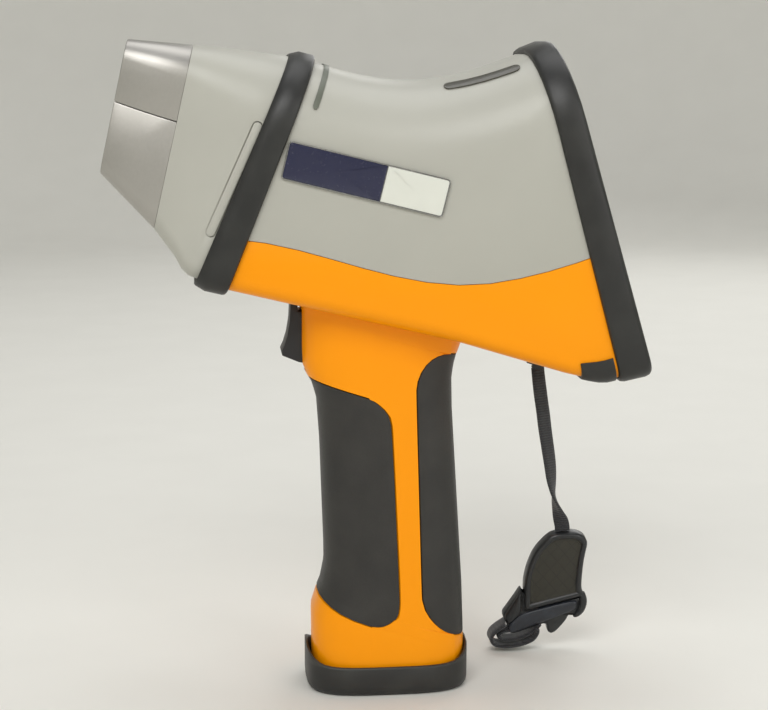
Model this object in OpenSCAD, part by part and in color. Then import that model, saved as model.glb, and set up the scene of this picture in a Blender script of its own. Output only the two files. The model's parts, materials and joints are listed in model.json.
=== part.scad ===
// Handheld XRF analyzer: a pistol-shaped instrument that stands on its battery boot.
// Origin: centre of the foot's bottom face. +X runs from the nose to the display,
// +Z is up, and the body is symmetric about the XZ plane apart from its badge and keys.

/* [Body] */
// Height of the housing top at the front band
housing_top_z = 273.6; // [272:0.2:276]
// How far the saddle dips between the band and the bumper
saddle_drop = 10.9; // [7:0.1:13]
// Width of the housing at the front band
housing_front_w = 67; // [64:0.5:70]
// Width of the housing at the rear bumper
housing_rear_w = 84.8; // [82:0.4:88]
// Thickness of the moulded housing walls
wall = 2.6; // [2:0.1:3.2]
// Corner radius along the top of the housing at the front band
shoulder_front_r = 28; // [24:0.5:30]
// Corner radius along the top of the housing at the rear bumper
shoulder_rear_r = 32; // [28:0.5:34]
// Extra corner radius along the top at the middle of the saddle
shoulder_swell = 3; // [0:0.5:4]
// Corner radius along the bottom of the lower housing
belly_r = 7; // [5:0.5:9]
// Lowest height of the seam between the upper and lower housing
seam_low_z = 181.8; // [179:0.2:184]
// Rise of that seam towards the front band
seam_rise_front = 20; // [12:0.5:22]
// Rise of that seam towards the rear bumper
seam_rise_rear = 11.5; // [6:0.5:14]
// Running gap left at seams and seats
seat_gap = 0.2; // [0.15:0.05:0.3]

/* [Nose] */
// Width of the nose at its face
nose_w = 47; // [44:0.5:50]
// Width of the nose where it meets the front housing
nose_root_w = 55; // [52:0.5:58]
// Corner radius of the nose section
nose_r = 8; // [6:0.5:10]
// Wall of the metal nose cap
cap_wall = 2; // [1.6:0.1:2.6]
// Diameter of the measuring window
window_d = 12; // [8:0.5:16]
// Thickness of the window plate
window_plate_t = 2; // [1.5:0.1:3]

/* [Rubber rings] */
// How far the front band stands proud of the housing
band_proud = 2.6; // [1.5:0.1:3.5]
// Thickness of the front band across its plane
band_t = 12.4; // [10:0.2:15]
// How far the rear bumper stands proud of the housing
bumper_proud = 2; // [1.9:0.1:3]
// Thickness of the rear bumper across its plane
bumper_t = 13.4; // [12:0.2:16]
// Share of the rings' thickness that is left at their tops
ring_taper = 0.78; // [0.7:0.02:1]

/* [Display] */
// Width of the touch glass
glass_w = 62; // [58:0.5:64]
// Height of the touch glass
glass_h = 90; // [86:0.5:91]
// Thickness of the touch glass
glass_t = 1.2; // [0.8:0.1:1.6]
// Thickness of the display bezel
bezel_t = 4.8; // [4:0.1:5.4]
// Diameter of the round keys
key_d = 10; // [8:0.5:11]
// Travel of the keys
key_travel = 0.8; // [0.5:0.1:1]

/* [Handle] */
// Width of the handle at the grips
handle_w = 40; // [38:0.5:43]
// Width of the handle at its foot and top
handle_end_w = 44.4; // [43:0.2:45]
// Thickness of the rubber grips
grip_t = 2.2; // [1.6:0.1:2.4]
// Length of the battery bay from front to back
bay_l = 42; // [40:0.5:43]
// Width of the battery bay
bay_w = 27; // [25:0.2:28]
// Height of the battery pack
battery_h = 112; // [100:1:114]
// Gap round the battery pack in its bay
battery_gap = 0.3; // [0.2:0.05:0.5]

/* [Boot] */
// Length of the battery boot
boot_l = 71.6; // [71:0.2:74]
// Width of the battery boot
boot_w = 49.6; // [49:0.2:52]
// Height of the boot's rim at the sides
boot_rim_z = 13; // [12:0.5:16]
// Extra height of the rim at the front and rear ends
boot_ear = 6.5; // [4:0.5:10]

/* [Trigger] */
// Width of the trigger
trigger_w = 14; // [11:0.5:16]
// Diameter of the trigger's pivot pin
trigger_pin_d = 3; // [2.5:0.1:3.5]
// Radial clearance of pins and keys in their bores
pin_gap = 0.05; // [0.03:0.01:0.08]

/* [Measuring head] */
// Diameter of the X-ray tube's housing
tube_d = 26; // [22:0.5:28]
// Diameter of the filter wheel
filter_d = 24; // [22:0.5:24.5]
// Diameter of the detector can
detector_d = 14; // [11:0.5:16]

/* [Hidden] */

$fn = 48;

// ---------- Lofting ----------

// Value a fraction t of the way from a to b
function mix(a, b, t) = a + (b - a) * t;

// Solid skinned over rings that have the same even number of points. Each end is capped by
// a strip across its ring, or, when looped, the last ring joins the first.
module loft(rings, looped = false) {
    n = len(rings[0]);
    m = len(rings);
    walls = [
        for (k = [0:looped ? m - 1 : m - 2], i = [0:n - 1])
            let (
                a = k * n + i,
                b = k * n + (i + 1) % n,
                c = ((k + 1) % m) * n + (i + 1) % n,
                d = ((k + 1) % m) * n + i
            )
            each [[a, c, b], [a, d, c]]
    ];
    first_cap = [
        for (i = [0:n / 2 - 2])
            let (a = i, b = i + 1, c = n - 2 - i, d = n - 1 - i)
            each [[a, b, c], [a, c, d]]
    ];
    last_cap = [for (f = first_cap) [for (p = reversed(f)) (m - 1) * n + p]];
    polyhedron(
        points = [for (ring = rings) each ring],
        faces = looped ? walls : concat(walls, first_cap, last_cap)
    );
}

function reversed(list) = [for (i = [len(list) - 1:-1:0]) list[i]];

// Arch in a section plane: up the left side from height v0, over the top at height h and
// down the right side. w is the half width, r the corner radius, inset moves it inwards.
function arch(w, v0, h, r, inset) =
    let (side = 3, turn = 7, top = 2)
    concat(
        [for (i = [0:side - 1]) [-(w - inset), mix(v0, h - r, i / side)]],
        [for (i = [0:turn]) [-(w - r) - (r - inset) * cos(90 * i / turn),
            h - r + (r - inset) * sin(90 * i / turn)]],
        [for (i = [1:top - 1]) [mix(-(w - r), w - r, i / top), h - inset]],
        [for (i = [turn:-1:0]) [(w - r) + (r - inset) * cos(90 * i / turn),
            h - r + (r - inset) * sin(90 * i / turn)]],
        [for (i = [side - 1:-1:0]) [w - inset, mix(v0, h - r, i / side)]]
    );

// The same arch upside down, opening at height v0 with its floor at height 0
function cup(w, v0, r, inset) = [for (p = arch(w, -v0, 0, r, inset)) [p[0], -p[1]]];

// Closed hoop made of an arch over a cup
function hoop(w, h, rt, rb, inset) =
    let (low = reversed(cup(w, h / 2, rb, inset)))
    concat(arch(w, h / 2, h, rt, inset), [for (i = [1:len(low) - 2]) low[i]]);

// A station is a section plane across the body: [top point, bottom point, half width,
// top radius, bottom radius]. Both points are [x, z].
function height_of(st) = norm(st[0] - st[1]);
function place(st, p) =
    let (q = mix(st[1], st[0], p[1] / height_of(st)))
    [q[0], p[0], q[1]];
function place_all(st, points) = [for (p = points) place(st, p)];
function hoop_ring(st, inset) =
    place_all(st, hoop(st[2], height_of(st), st[3], st[4], inset));
function arch_ring(st, v0, outset, depth) =
    place_all(st, concat(
        arch(st[2], v0, height_of(st), st[3], -outset),
        reversed(arch(st[2], v0, height_of(st), st[3], depth))));
function cup_ring(st, v0, outset, depth) =
    place_all(st, concat(
        cup(st[2], v0, st[4], -outset),
        reversed(cup(st[2], v0, st[4], depth))));

// ---------- Body lines ----------

// Rear part of the body: from the middle of the band (u = 0) to the middle of the bumper (u = 1)
top_x = [-36, 63];
belly_x = [-74.8, 101.2];
top_rise = 3.6;
front_slope = 0.14;
// Underside of the body as [x, z]
belly_line = [[-90, 184.9], [26, 157.5], [80, 141.2], [88, 139.8], [112, 145]];
// Where the seam is lowest, and how far it reaches forward and back from there
seam_low_x = 31;
seam_front_reach = 106;
seam_rear_reach = 51;

function belly_z(x) = lookup(x, belly_line);
function seam_z(x) = x < seam_low_x
    ? seam_low_z + seam_rise_front * (1 - cos(180 * (seam_low_x - x) / seam_front_reach)) / 2
    : seam_low_z + seam_rise_rear * pow((x - seam_low_x) / seam_rear_reach, 1.6);

// Height of the top of the body, ahead of the band and behind it
function top_z(x) =
    let (u = (x - top_x[0]) / (top_x[1] - top_x[0]))
    u < 0 ? housing_top_z - front_slope * (x - top_x[0])
        : housing_top_z + top_rise * u - saddle_drop * sin(180 * u);
function half_width(u) = mix(housing_front_w, housing_rear_w, u) / 2;
function shoulder_r(u) = mix(shoulder_front_r, shoulder_rear_r, u) + shoulder_swell * sin(180 * u);
function body_station(u) =
    let (bx = mix(belly_x[0], belly_x[1], u), tx = mix(top_x[0], top_x[1], u))
    [
        [tx, top_z(tx)],
        [bx, belly_z(bx)],
        half_width(u),
        shoulder_r(u),
        belly_r
    ];

// Height of the seam along a station, found by stepping towards the line
function seam_v(st, v = 20, steps = 6) =
    steps == 0 ? v : seam_v(st, (seam_z(place(st, [0, v])[0]) - st[1][1])
        / (st[0][1] - st[1][1]) * height_of(st), steps - 1);

body_steps = 12;
body_stations = [for (i = [0:body_steps]) body_station(i / body_steps)];

// Front part of the body: nose face, cap seam, the rounded chin and the band
nose_face = [[-106.8, 281.3], [-119.2, 227.2], nose_w / 2, nose_r, nose_r];
nose_root = [[-80.2, 279], [-97.7, 204.5], nose_root_w / 2, nose_r + 6, nose_r];
// Station of the front housing, a fraction t of the way from the nose root to the band
function front_station(high, low, t) = [
    high, low, mix(nose_root_w, housing_front_w, t) / 2, mix(nose_root[3], shoulder_front_r, t),
    mix(nose_root[4], belly_r, t)
];
front_stations = [
    nose_root,
    front_station([-68, 278], [-89.6, 193.6], 0.36),
    front_station([-62, 277.2], [-86.9, 188.4], 0.52),
    front_station([-56, 276.4], [-84.2, 185.7], 0.68),
    front_station([-50, 275.6], [-81, 184.5], 0.82),
    front_station([-36.2, 273.6], [-75, 182.2], 1)
];

// Section across a rubber ring, moved by dx from the end of the body lines it sits on
function ring_station(end, dx) =
    let (
        tx = top_x[end] + dx * ring_taper,
        bx = belly_x[end] + dx,
        ut = (tx - top_x[0]) / (top_x[1] - top_x[0]),
        ub = (bx - belly_x[0]) / (belly_x[1] - belly_x[0]),
        u = min(1, max(0, ut, ub))
    )
    [[tx, top_z(tx)], [bx, belly_z(bx)], half_width(u), shoulder_r(u), belly_r];
function tilt_of(end) = atan2(top_x[end] - belly_x[end], top_z(top_x[end]) - belly_z(belly_x[end]));
// Rubber ring round the body. Its profile lists [place across the thickness, how proud].
module rubber_ring(end, thickness, profile) {
    across = thickness / cos(tilt_of(end));
    outer = [for (p = profile) hoop_ring(ring_station(end, across * p[0]), -p[1])];
    inner = [for (f = [0.5:-0.25:-0.5]) hoop_ring(ring_station(end, across * f), -seat_gap)];
    loft(concat(outer, inner), looped = true);
}

// ---------- Placing ----------

nose_mid = (nose_face[0] + nose_face[1]) / 2;
nose_tilt = atan2(nose_face[0][0] - nose_face[1][0], nose_face[0][1] - nose_face[1][1]);
nose_face_h = norm(nose_face[0] - nose_face[1]);
// Nose frame: z points out of the nose, y up along its face
module at_nose() {
    translate([nose_mid[0], 0, nose_mid[1]]) rotate([0, nose_tilt, 0]) rotate([90, 0, -90]) children();
}
// Bench frame of the measuring head: x runs inwards from the nose face, z up along it
module at_bench() {
    translate([nose_mid[0], 0, nose_mid[1]]) rotate([0, nose_tilt, 0]) children();
}

rear_end = body_station(1);
rear_mid = (rear_end[0] + rear_end[1]) / 2;
rear_h = height_of(rear_end);
rear_tilt = -tilt_of(1);
bezel_out = seat_gap + bezel_t;
// Rear frame: z points out of the display bezel's face, y up along it, x to the user's right
module at_rear() {
    translate([rear_mid[0] + bezel_out * cos(rear_tilt), 0, rear_mid[1] + bezel_out * sin(rear_tilt)])
        rotate([0, -rear_tilt, 0]) rotate([90, 0, 90]) children();
}

// Plate with two corner radii, centred, from z = 0 up
module rounded_plate(w, h, r_top, r_bottom, t) {
    linear_extrude(t) hull() {
        for (side = [-1, 1]) {
            translate([side * (w / 2 - r_top), h / 2 - r_top]) circle(r_top, $fn = 32);
            translate([side * (w / 2 - r_bottom), r_bottom - h / 2]) circle(r_bottom, $fn = 32);
        }
    }
}
// Cylinder along x
module rod_x(d, x0, x1) {
    translate([x0, 0, 0]) rotate([0, 90, 0]) cylinder(d = d, h = x1 - x0);
}

// ---------- Nose ----------

nose_steps = 4;
nose_split = [0.545, 0.59];
nose_stations = [for (i = [0:nose_steps])
    let (t = i / nose_steps)
    [mix(nose_face[0], nose_root[0], t), mix(nose_face[1], nose_root[1], t),
        mix(nose_w, nose_root_w, t) / 2, mix(nose_face[3], nose_root[3], t),
        mix(nose_face[4], nose_root[4], t)]];
function split_v(i) = height_of(nose_stations[i]) * mix(nose_split[0], nose_split[1], i / nose_steps);

module nose_cap_upper() {
    color([0.66, 0.64, 0.6])
        loft([for (i = [0:nose_steps]) arch_ring(nose_stations[i], split_v(i), 0, cap_wall)]);
}
module nose_cap_lower() {
    color([0.63, 0.61, 0.57])
        loft([for (i = [nose_steps:-1:0])
            cup_ring(nose_stations[i], split_v(i) - seat_gap, 0, cap_wall)]);
}

plate_recess = 0.6;
plate_w = nose_w - 2 * cap_wall - 2 * seat_gap;
plate_h = nose_face_h - 2 * cap_wall - 4 * seat_gap;
plate_r = nose_r - cap_wall;
beam_v = 8;
film_d = window_d + 4;
film_t = 0.3;
lens_d = 6;
lens_v = -14;
module window_plate() {
    color("silver") at_nose() difference() {
        translate([0, 0, -plate_recess - window_plate_t])
            rounded_plate(plate_w, plate_h, plate_r, plate_r, window_plate_t);
        translate([0, beam_v, -plate_recess - window_plate_t - 1]) cylinder(d = window_d, h = 9);
        translate([0, beam_v, -plate_recess - film_t - 0.1]) cylinder(d = film_d + 0.2, h = 9);
        translate([0, lens_v, -plate_recess - window_plate_t - 1])
            cylinder(d = lens_d + 2 * pin_gap, h = 9);
    }
}
module window_film() {
    color([0.75, 0.55, 0.2]) at_nose() translate([0, beam_v, -plate_recess - film_t])
        cylinder(d = film_d, h = film_t);
}
module proximity_lens() {
    color([0.2, 0.05, 0.05]) at_nose() translate([0, lens_v, -plate_recess - window_plate_t])
        cylinder(d = lens_d, h = window_plate_t + 0.3);
}

// ---------- Housings and rubber ----------

// Groove that outlines a slim tongue beside the front band, from its lower end to its upper
tongue_ends = [[-74.6, 204.2], [-55.2, 246.6]];
tongue_w = 4.4;
groove_w = 0.5;
groove_deep_y = 31.6;
module tongue_outline(grow) {
    hull() for (p = tongue_ends) translate(p) circle(tongue_w / 2 + grow, $fn = 32);
}
module front_housing() {
    color([0.7, 0.71, 0.65]) difference() {
        loft(concat(
            [for (st = front_stations) hoop_ring(st, 0)],
            [for (st = reversed(front_stations)) hoop_ring(st, wall)]
        ), looped = true);
        for (side = [0, 1]) mirror([0, side, 0])
            translate([0, -groove_deep_y, 0]) rotate([90, 0, 0]) linear_extrude(9) difference() {
                tongue_outline(0);
                tongue_outline(-groove_w);
            }
    }
}
module front_band() {
    color([0.16, 0.16, 0.15])
        rubber_ring(0, band_t, [
            [-0.5, 0.6], [-0.46, 1.1], [-0.14, band_proud], [0.38, band_proud],
            [0.46, band_proud - 0.4], [0.5, band_proud - 1.3]
        ]);
}
module rear_bumper() {
    color([0.16, 0.16, 0.15])
        rubber_ring(1, bumper_t, [
            [-0.5, bumper_proud - 1.4], [-0.46, bumper_proud - 0.5], [-0.34, bumper_proud],
            [0.3, bumper_proud], [0.43, bumper_proud - 0.5], [0.5, bumper_proud - 1.6]
        ]);
}
module upper_housing() {
    color([0.7, 0.71, 0.65])
        loft([for (st = body_stations) arch_ring(st, seam_v(st), 0, wall)]);
}
module lower_housing() {
    color([1, 0.6, 0])
        difference() {
            loft([for (st = reversed(body_stations)) cup_ring(st, seam_v(st) - seat_gap, 0, wall)]);
            at_legs() {
                translate([0, 0, -wall - 2]) cylinder(d = screw_d + 0.4, h = wall + 4);
                translate([0, 0, -wall - 2]) cylinder(d = screw_head_d + 0.6, h = 3.4);
            }
        }
}

heel_u = [0.872, 0.955];
heel_steps = 4;
heel_proud = 0.9;
heel_high = 10;
module heel_pad() {
    color([0.16, 0.16, 0.15])
        loft([for (i = [heel_steps:-1:0])
            let (t = i / heel_steps, st = body_station(mix(heel_u[0], heel_u[1], t)))
            cup_ring(st, belly_r + 0.4 + (heel_high - belly_r) * sin(90 * t),
                heel_proud, -seat_gap)]);
}

// Part of a section from angle a0 to a1 round the left top corner
function shoulder(st, a0, a1, outset, steps = 6) =
    let (w = st[2], h = height_of(st), r = st[3])
    [for (i = [0:steps])
        let (a = mix(a0, a1, i / steps))
        [-(w - r) - (r + outset) * cos(a), h - r + (r + outset) * sin(a)]];
function mirrored(points) = reversed([for (p = points) [-p[0], p[1]]]);

light_bar_w = 2.8;
light_bar_dx = 12.2;
light_bar_start = 22;
light_bar_round = 2.8;
light_bar_gap = 0.2;
trim_proud = 0.5;
trim_gap = 0.1;
// Slim lens that wraps over the top just behind the front band
module light_bar_lens() {
    function over(st, start, outset) =
        let (half = shoulder(st, start, 90, outset))
        concat(half, mirrored(half));
    color([0.42, 0.44, 0.4])
        loft([for (side = [-1:0.5:1])
            let (
                st = ring_station(0, light_bar_dx + light_bar_w * (1 + side) / 2),
                start = light_bar_start + light_bar_round * (1 - sqrt(1 - side * side))
            )
            place_all(st, concat(over(st, start, trim_proud), reversed(over(st, start, light_bar_gap))))]);
}
lamp_u = [0.585, 0.895];
lamp_angle = 64;
lamp_spread = 4.6;
lamp_round = 0.08;
lamp_t = [0, 0.02, 0.05, 0.09, 0.3, 0.5, 0.7, 0.91, 0.95, 0.98, 1];
// Pair of stadium-shaped warning lamps along the rear shoulders
module top_lamp_lens() {
    color([0.25, 0.24, 0.18])
        for (side = [0, 1]) mirror([0, side, 0])
            loft([for (t = lamp_t)
                let (
                    st = body_station(mix(lamp_u[0], lamp_u[1], t)),
                    short = max(0, 1 - min(t, 1 - t) / lamp_round),
                    half = lamp_spread * sqrt(max(0.03, 1 - short * short)),
                    a = lamp_angle - half,
                    b = lamp_angle + half
                )
                place_all(st, concat(
                    shoulder(st, a, b, trim_proud, 4), reversed(shoulder(st, a, b, trim_gap, 4))))]);
}

// Badge on the near side wall, left bare
badge_l = 67.5;
badge_h = 15.8;
badge_rim = 0.8;
badge_t = 1;
badge_tilt = 13.8;
badge_mid = [-11.6, 225.4];
badge_wall = (housing_rear_w - housing_front_w) / 2;
badge_yaw = atan(badge_wall * 0.525 / badge_l);
badge_dark_l = 40;
badge_y = housing_front_w / 2 + badge_wall * 0.345;
badge_plate_h = badge_h - 2 * badge_rim;
badge_floor = 0.3;
badge_light_l = badge_l - badge_dark_l - 3 * badge_rim;
module at_badge() {
    translate([badge_mid[0], -badge_y - seat_gap, badge_mid[1]])
        rotate([0, 0, -badge_yaw]) rotate([0, badge_tilt, 0]) rotate([90, 0, 0]) children();
}
module badge_frame() {
    color([0.75, 0.75, 0.72]) at_badge() difference() {
        translate([-badge_l / 2, -badge_h / 2, 0]) cube([badge_l, badge_h, badge_t]);
        translate([badge_rim - badge_l / 2, -badge_plate_h / 2, badge_floor])
            cube([badge_dark_l, badge_plate_h, badge_t]);
        translate([badge_l / 2 - badge_rim - badge_light_l, -badge_plate_h / 2, badge_floor])
            cube([badge_light_l, badge_plate_h, badge_t]);
    }
}
module badge_insert(x0, l, t) {
    at_badge() translate([x0 + trim_gap, trim_gap - badge_plate_h / 2, badge_floor])
        cube([l - 2 * trim_gap, badge_plate_h - 2 * trim_gap, t]);
}
module badge_dark_plate() {
    color([0.16, 0.16, 0.3]) badge_insert(badge_rim - badge_l / 2, badge_dark_l, badge_t - 0.5);
}
module badge_light_plate() {
    color([0.9, 0.9, 0.86])
        badge_insert(badge_l / 2 - badge_rim - badge_light_l, badge_light_l, badge_t - 0.5);
}

// ---------- Display and keys ----------

glass_mid_y = 12.5;
glass_sink = 0.3;
glass_gap = 0.2;
glass_lip = 4;
glass_r = 2;
key_rise = 0.9;
key_flange = 1;
key_flange_t = 1;
key_slack = 0.15;
ring_key_d = 22;
nav_place = [0, -51];
left_place = [-27, -45];
right_place = [27, -45];
power_place = [-27, -60];
post_d = 4;
post_places = [[-33, -52], [33, -52]];
keypad_t = 1.6;
keypad_w = 72;
keypad_span = [-65, -37];
keypad_top = -(bezel_t + 0.1 + key_flange_t + key_travel + key_slack);
module display_bezel() {
    color([0.12, 0.12, 0.12]) at_rear() {
        difference() {
            translate([0, 0, -bezel_t])
                rounded_plate(housing_rear_w, rear_h, shoulder_rear_r, belly_r, bezel_t);
            translate([0, glass_mid_y, -glass_sink - glass_t - 0.1])
                rounded_plate(glass_w + 2 * glass_gap, glass_h + 2 * glass_gap, glass_r, glass_r, 9);
            translate([0, glass_mid_y, -bezel_t - 1])
                rounded_plate(glass_w - 2 * glass_lip, glass_h - 2 * glass_lip, glass_r, glass_r, 9);
            for (p = [left_place, right_place, power_place])
                translate([p[0], p[1], -bezel_t - 1]) cylinder(d = key_d + 2 * pin_gap, h = 9);
            translate([nav_place[0], nav_place[1], -bezel_t - 1])
                cylinder(d = ring_key_d + 2 * pin_gap, h = 9);
        }
        for (p = post_places)
            translate([p[0], p[1], keypad_top]) cylinder(d = post_d, h = -bezel_t - keypad_top);
    }
}
module touch_glass() {
    color([0.05, 0.06, 0.08]) at_rear() translate([0, glass_mid_y, -glass_sink - glass_t])
        rounded_plate(glass_w, glass_h, glass_r, glass_r, glass_t);
}
module_t = 4.4;
module_post_h = 5;
module_front = -bezel_t - seat_gap;
module_back = module_front - module_t;
module_inset = 4;
chip_t = 1.4;
module display_module() {
    w = glass_w - module_inset;
    h = glass_h - module_inset;
    color([0.6, 0.6, 0.62]) at_rear() {
        translate([-w / 2, glass_mid_y - h / 2, module_back]) cube([w, h, module_t]);
        for (sx = [-1, 1], sy = [-1, 1])
            translate([sx * (w / 2 - 5), glass_mid_y + sy * (h / 2 - 8), module_back - module_post_h])
                cylinder(d = post_d, h = module_post_h);
    }
}
module processor_board() {
    w = glass_w - module_inset - 4;
    h = glass_h - module_inset - 6;
    top = module_back - module_post_h;
    color([0.1, 0.4, 0.2]) at_rear() {
        translate([-w / 2, glass_mid_y - h / 2, top - keypad_t]) cube([w, h, keypad_t]);
        for (c = [[-18, 20, 16], [12, 14, 20], [-8, -14, 12], [16, -22, 10]])
            translate([c[0] - c[2] / 2, glass_mid_y + c[1] - c[2] / 2, top - keypad_t - chip_t])
                cube([c[2], c[2], chip_t]);
    }
}
module keypad_board() {
    color([0.1, 0.4, 0.2]) at_rear()
        translate([-keypad_w / 2, keypad_span[0], keypad_top - keypad_t])
            cube([keypad_w, keypad_span[1] - keypad_span[0], keypad_t]);
}
// Round key with a flange behind the bezel and a dished top
module round_key(p) {
    at_rear() translate([p[0], p[1], 0]) rotate_extrude() polygon([
        [0, -bezel_t - 0.1 - key_flange_t], [key_d / 2 + key_flange, -bezel_t - 0.1 - key_flange_t],
        [key_d / 2 + key_flange, -bezel_t - 0.1], [key_d / 2, -bezel_t - 0.1],
        [key_d / 2, key_rise - 0.4], [key_d / 2 - 0.5, key_rise], [0, key_rise - 0.3]
    ]);
}
module left_key() { color([0.3, 0.3, 0.3]) round_key(left_place); }
module right_key() { color([0.3, 0.3, 0.3]) round_key(right_place); }
module power_key() { color([0.7, 0.1, 0.1]) round_key(power_place); }
select_d = key_d - 1;
module navigation_ring() {
    r_in = select_d / 2 + pin_gap;
    r_out = ring_key_d / 2;
    color([0.3, 0.3, 0.3]) at_rear() translate([nav_place[0], nav_place[1], 0])
        rotate_extrude() polygon([
            [r_in, -bezel_t - 0.1 - key_flange_t], [r_out + key_flange, -bezel_t - 0.1 - key_flange_t],
            [r_out + key_flange, -bezel_t - 0.1], [r_out, -bezel_t - 0.1],
            [r_out, key_rise - 0.5], [r_out - 0.8, key_rise], [r_in, key_rise - 0.4]
        ]);
}
module select_key() {
    color([0.25, 0.25, 0.25]) at_rear() translate([nav_place[0], nav_place[1], 0])
        rotate_extrude() polygon([
            [0, -bezel_t - 0.1 - key_flange_t], [select_d / 2, -bezel_t - 0.1 - key_flange_t],
            [select_d / 2, key_rise - 0.6], [select_d / 2 - 0.4, key_rise - 0.2], [0, key_rise - 0.4]
        ]);
}

// ---------- Measuring head on its chassis ----------

shelf_v = -27;
shelf_t = 2.5;
shelf_u = [60, 192];
shelf_w = 52;
front_plate_t = 2.5;
front_plate_w = 42;
front_plate_v = [-50, 25];
leg_d = 7;
leg_places = [[68, 20], [68, -20], [150, 20], [150, -20]];
// Height of the lower housing's floor under a place on the bench
function floor_v(u) =
    (belly_z(nose_mid[0] + u * cos(nose_tilt) - 62 * sin(nose_tilt)) - nose_mid[1] + u * sin(nose_tilt))
    / cos(nose_tilt) + wall + 2 * seat_gap;
detector_tilt = 40;
detector_start = 20;
detector_len = 24;
cooler_len = 14;
cooler_d = detector_d + 4;
detector_end = detector_start + detector_len + cooler_len;
function detector_at(d, across) =
    [-1 + d * cos(detector_tilt) + across * sin(detector_tilt),
        beam_v - d * sin(detector_tilt) + across * cos(detector_tilt)];
module chassis() {
    bracket_w = 20;
    color([0.75, 0.76, 0.78]) at_bench() {
        difference() {
            translate([shelf_u[0], -front_plate_w / 2, front_plate_v[0]])
                cube([front_plate_t, front_plate_w, front_plate_v[1] - front_plate_v[0]]);
            translate([0, 0, beam_v]) rod_x(tube_d + 2 * pin_gap, shelf_u[0] - 1, shelf_u[0] + 9);
        }
        translate([shelf_u[0], -shelf_w / 2, shelf_v - shelf_t])
            cube([shelf_u[1] - shelf_u[0], shelf_w, shelf_t]);
        for (p = leg_places) translate([p[0], p[1], floor_v(p[0])]) difference() {
            cylinder(d = leg_d, h = shelf_v - shelf_t - floor_v(p[0]));
            translate([0, 0, -1]) cylinder(d = screw_d + 2 * screw_gap, h = housing_screw_len + 1);
        }
        translate([0, bracket_w / 2, 0]) rotate([90, 0, 0]) linear_extrude(bracket_w) polygon([
            detector_at(detector_end + 0.2, 9), detector_at(detector_end + 0.2, -9),
            [shelf_u[0], front_plate_v[0]], [shelf_u[0], shelf_v]
        ]);
    }
}
snout_d = 8;
snout_u = 15.2;
tube_u = [28.2, 80];
tube_flange_t = 2.4;
module x_ray_tube() {
    color([0.8, 0.72, 0.5]) at_bench() translate([0, 0, beam_v]) {
        rod_x(snout_d, snout_u, tube_u[0] + 1);
        rod_x(tube_d, tube_u[0], tube_u[1]);
        rod_x(tube_d + 8, shelf_u[0] + front_plate_t + 0.1, shelf_u[0] + front_plate_t + tube_flange_t);
    }
}
supply_u = [80.2, 148];
supply_w = 48;
supply_top = 20;
module high_voltage_supply() {
    color([0.2, 0.2, 0.22]) at_bench() {
        translate([supply_u[0], -supply_w / 2, shelf_v + 0.1])
            cube([supply_u[1] - supply_u[0], supply_w, supply_top - shelf_v - 0.1]);
        translate([supply_u[1], 0, beam_v]) rod_x(10, -1, 6);
    }
}
filter_t = 1.6;
filter_u = 13;
filter_slots = 6;
filter_slot_d = 5;
filter_r = filter_d / 2 - 3;
filter_angle = 46;
motor_d = 8;
shaft_d = 2;
module at_filter_axis() {
    translate([0, filter_r * cos(filter_angle), beam_v + filter_r * sin(filter_angle)]) children();
}
module collimator() {
    color([0.6, 0.62, 0.65]) at_bench() translate([0, 0, beam_v]) difference() {
        rod_x(6, plate_recess + window_plate_t + 0.2, filter_u - 0.3);
        rod_x(3, 0, filter_u + 1);
    }
}
module filter_wheel() {
    color([0.85, 0.85, 0.87]) at_bench() at_filter_axis() difference() {
        rod_x(filter_d, filter_u, filter_u + filter_t);
        rod_x(shaft_d + 2 * pin_gap, filter_u - 1, filter_u + filter_t + 1);
        for (i = [0:filter_slots - 1])
            rotate([180 + filter_angle * -1 + 90 + i * 360 / filter_slots, 0, 0])
                translate([0, 0, filter_r]) rod_x(filter_slot_d, filter_u - 1, filter_u + filter_t + 1);
    }
}
shaft_len = 9;
module filter_shaft() {
    color("silver") at_bench() at_filter_axis()
        rod_x(shaft_d, filter_u - 0.3, filter_u + filter_t + shaft_len);
}
module filter_motor() {
    color([0.5, 0.5, 0.52]) at_bench() at_filter_axis() difference() {
        rod_x(motor_d, filter_u + filter_t + 0.6, tube_u[0] - 0.2);
        rod_x(shaft_d + 2 * pin_gap, filter_u, filter_u + filter_t + shaft_len + 0.3);
    }
}
module detector() {
    color([0.8, 0.8, 0.82]) at_bench() translate([-1, 0, beam_v]) rotate([0, detector_tilt, 0]) {
        rod_x(detector_d, detector_start, detector_start + detector_len);
        rod_x(cooler_d, detector_start + detector_len, detector_end);
    }
}
board_u = [76, 140];
module detector_board() {
    color([0.1, 0.4, 0.2]) at_bench()
        translate([board_u[0], -22, shelf_v - shelf_t - 0.1 - keypad_t])
            cube([board_u[1] - board_u[0], 44, keypad_t]);
}
sink_u = [152, 186];
sink_w = 48;
sink_base = 3;
fin_h = 13;
fin_t = 1.6;
fin_count = 9;
module heat_sink() {
    color([0.55, 0.56, 0.58]) at_bench() translate([sink_u[0], 0, shelf_v + 0.1]) {
        translate([0, -sink_w / 2, 0]) cube([sink_u[1] - sink_u[0], sink_w, sink_base]);
        for (i = [0:fin_count - 1])
            translate([0, -sink_w / 2 + i * (sink_w - fin_t) / (fin_count - 1), sink_base])
                cube([sink_u[1] - sink_u[0], fin_t, fin_h]);
    }
}
speaker_d = 30;
speaker_t = 6;
module speaker() {
    color([0.15, 0.15, 0.15]) at_bench()
        translate([176, 0, shelf_v - shelf_t - 0.1 - speaker_t]) cylinder(d = speaker_d, h = speaker_t);
}

// ---------- Handle ----------

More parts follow.
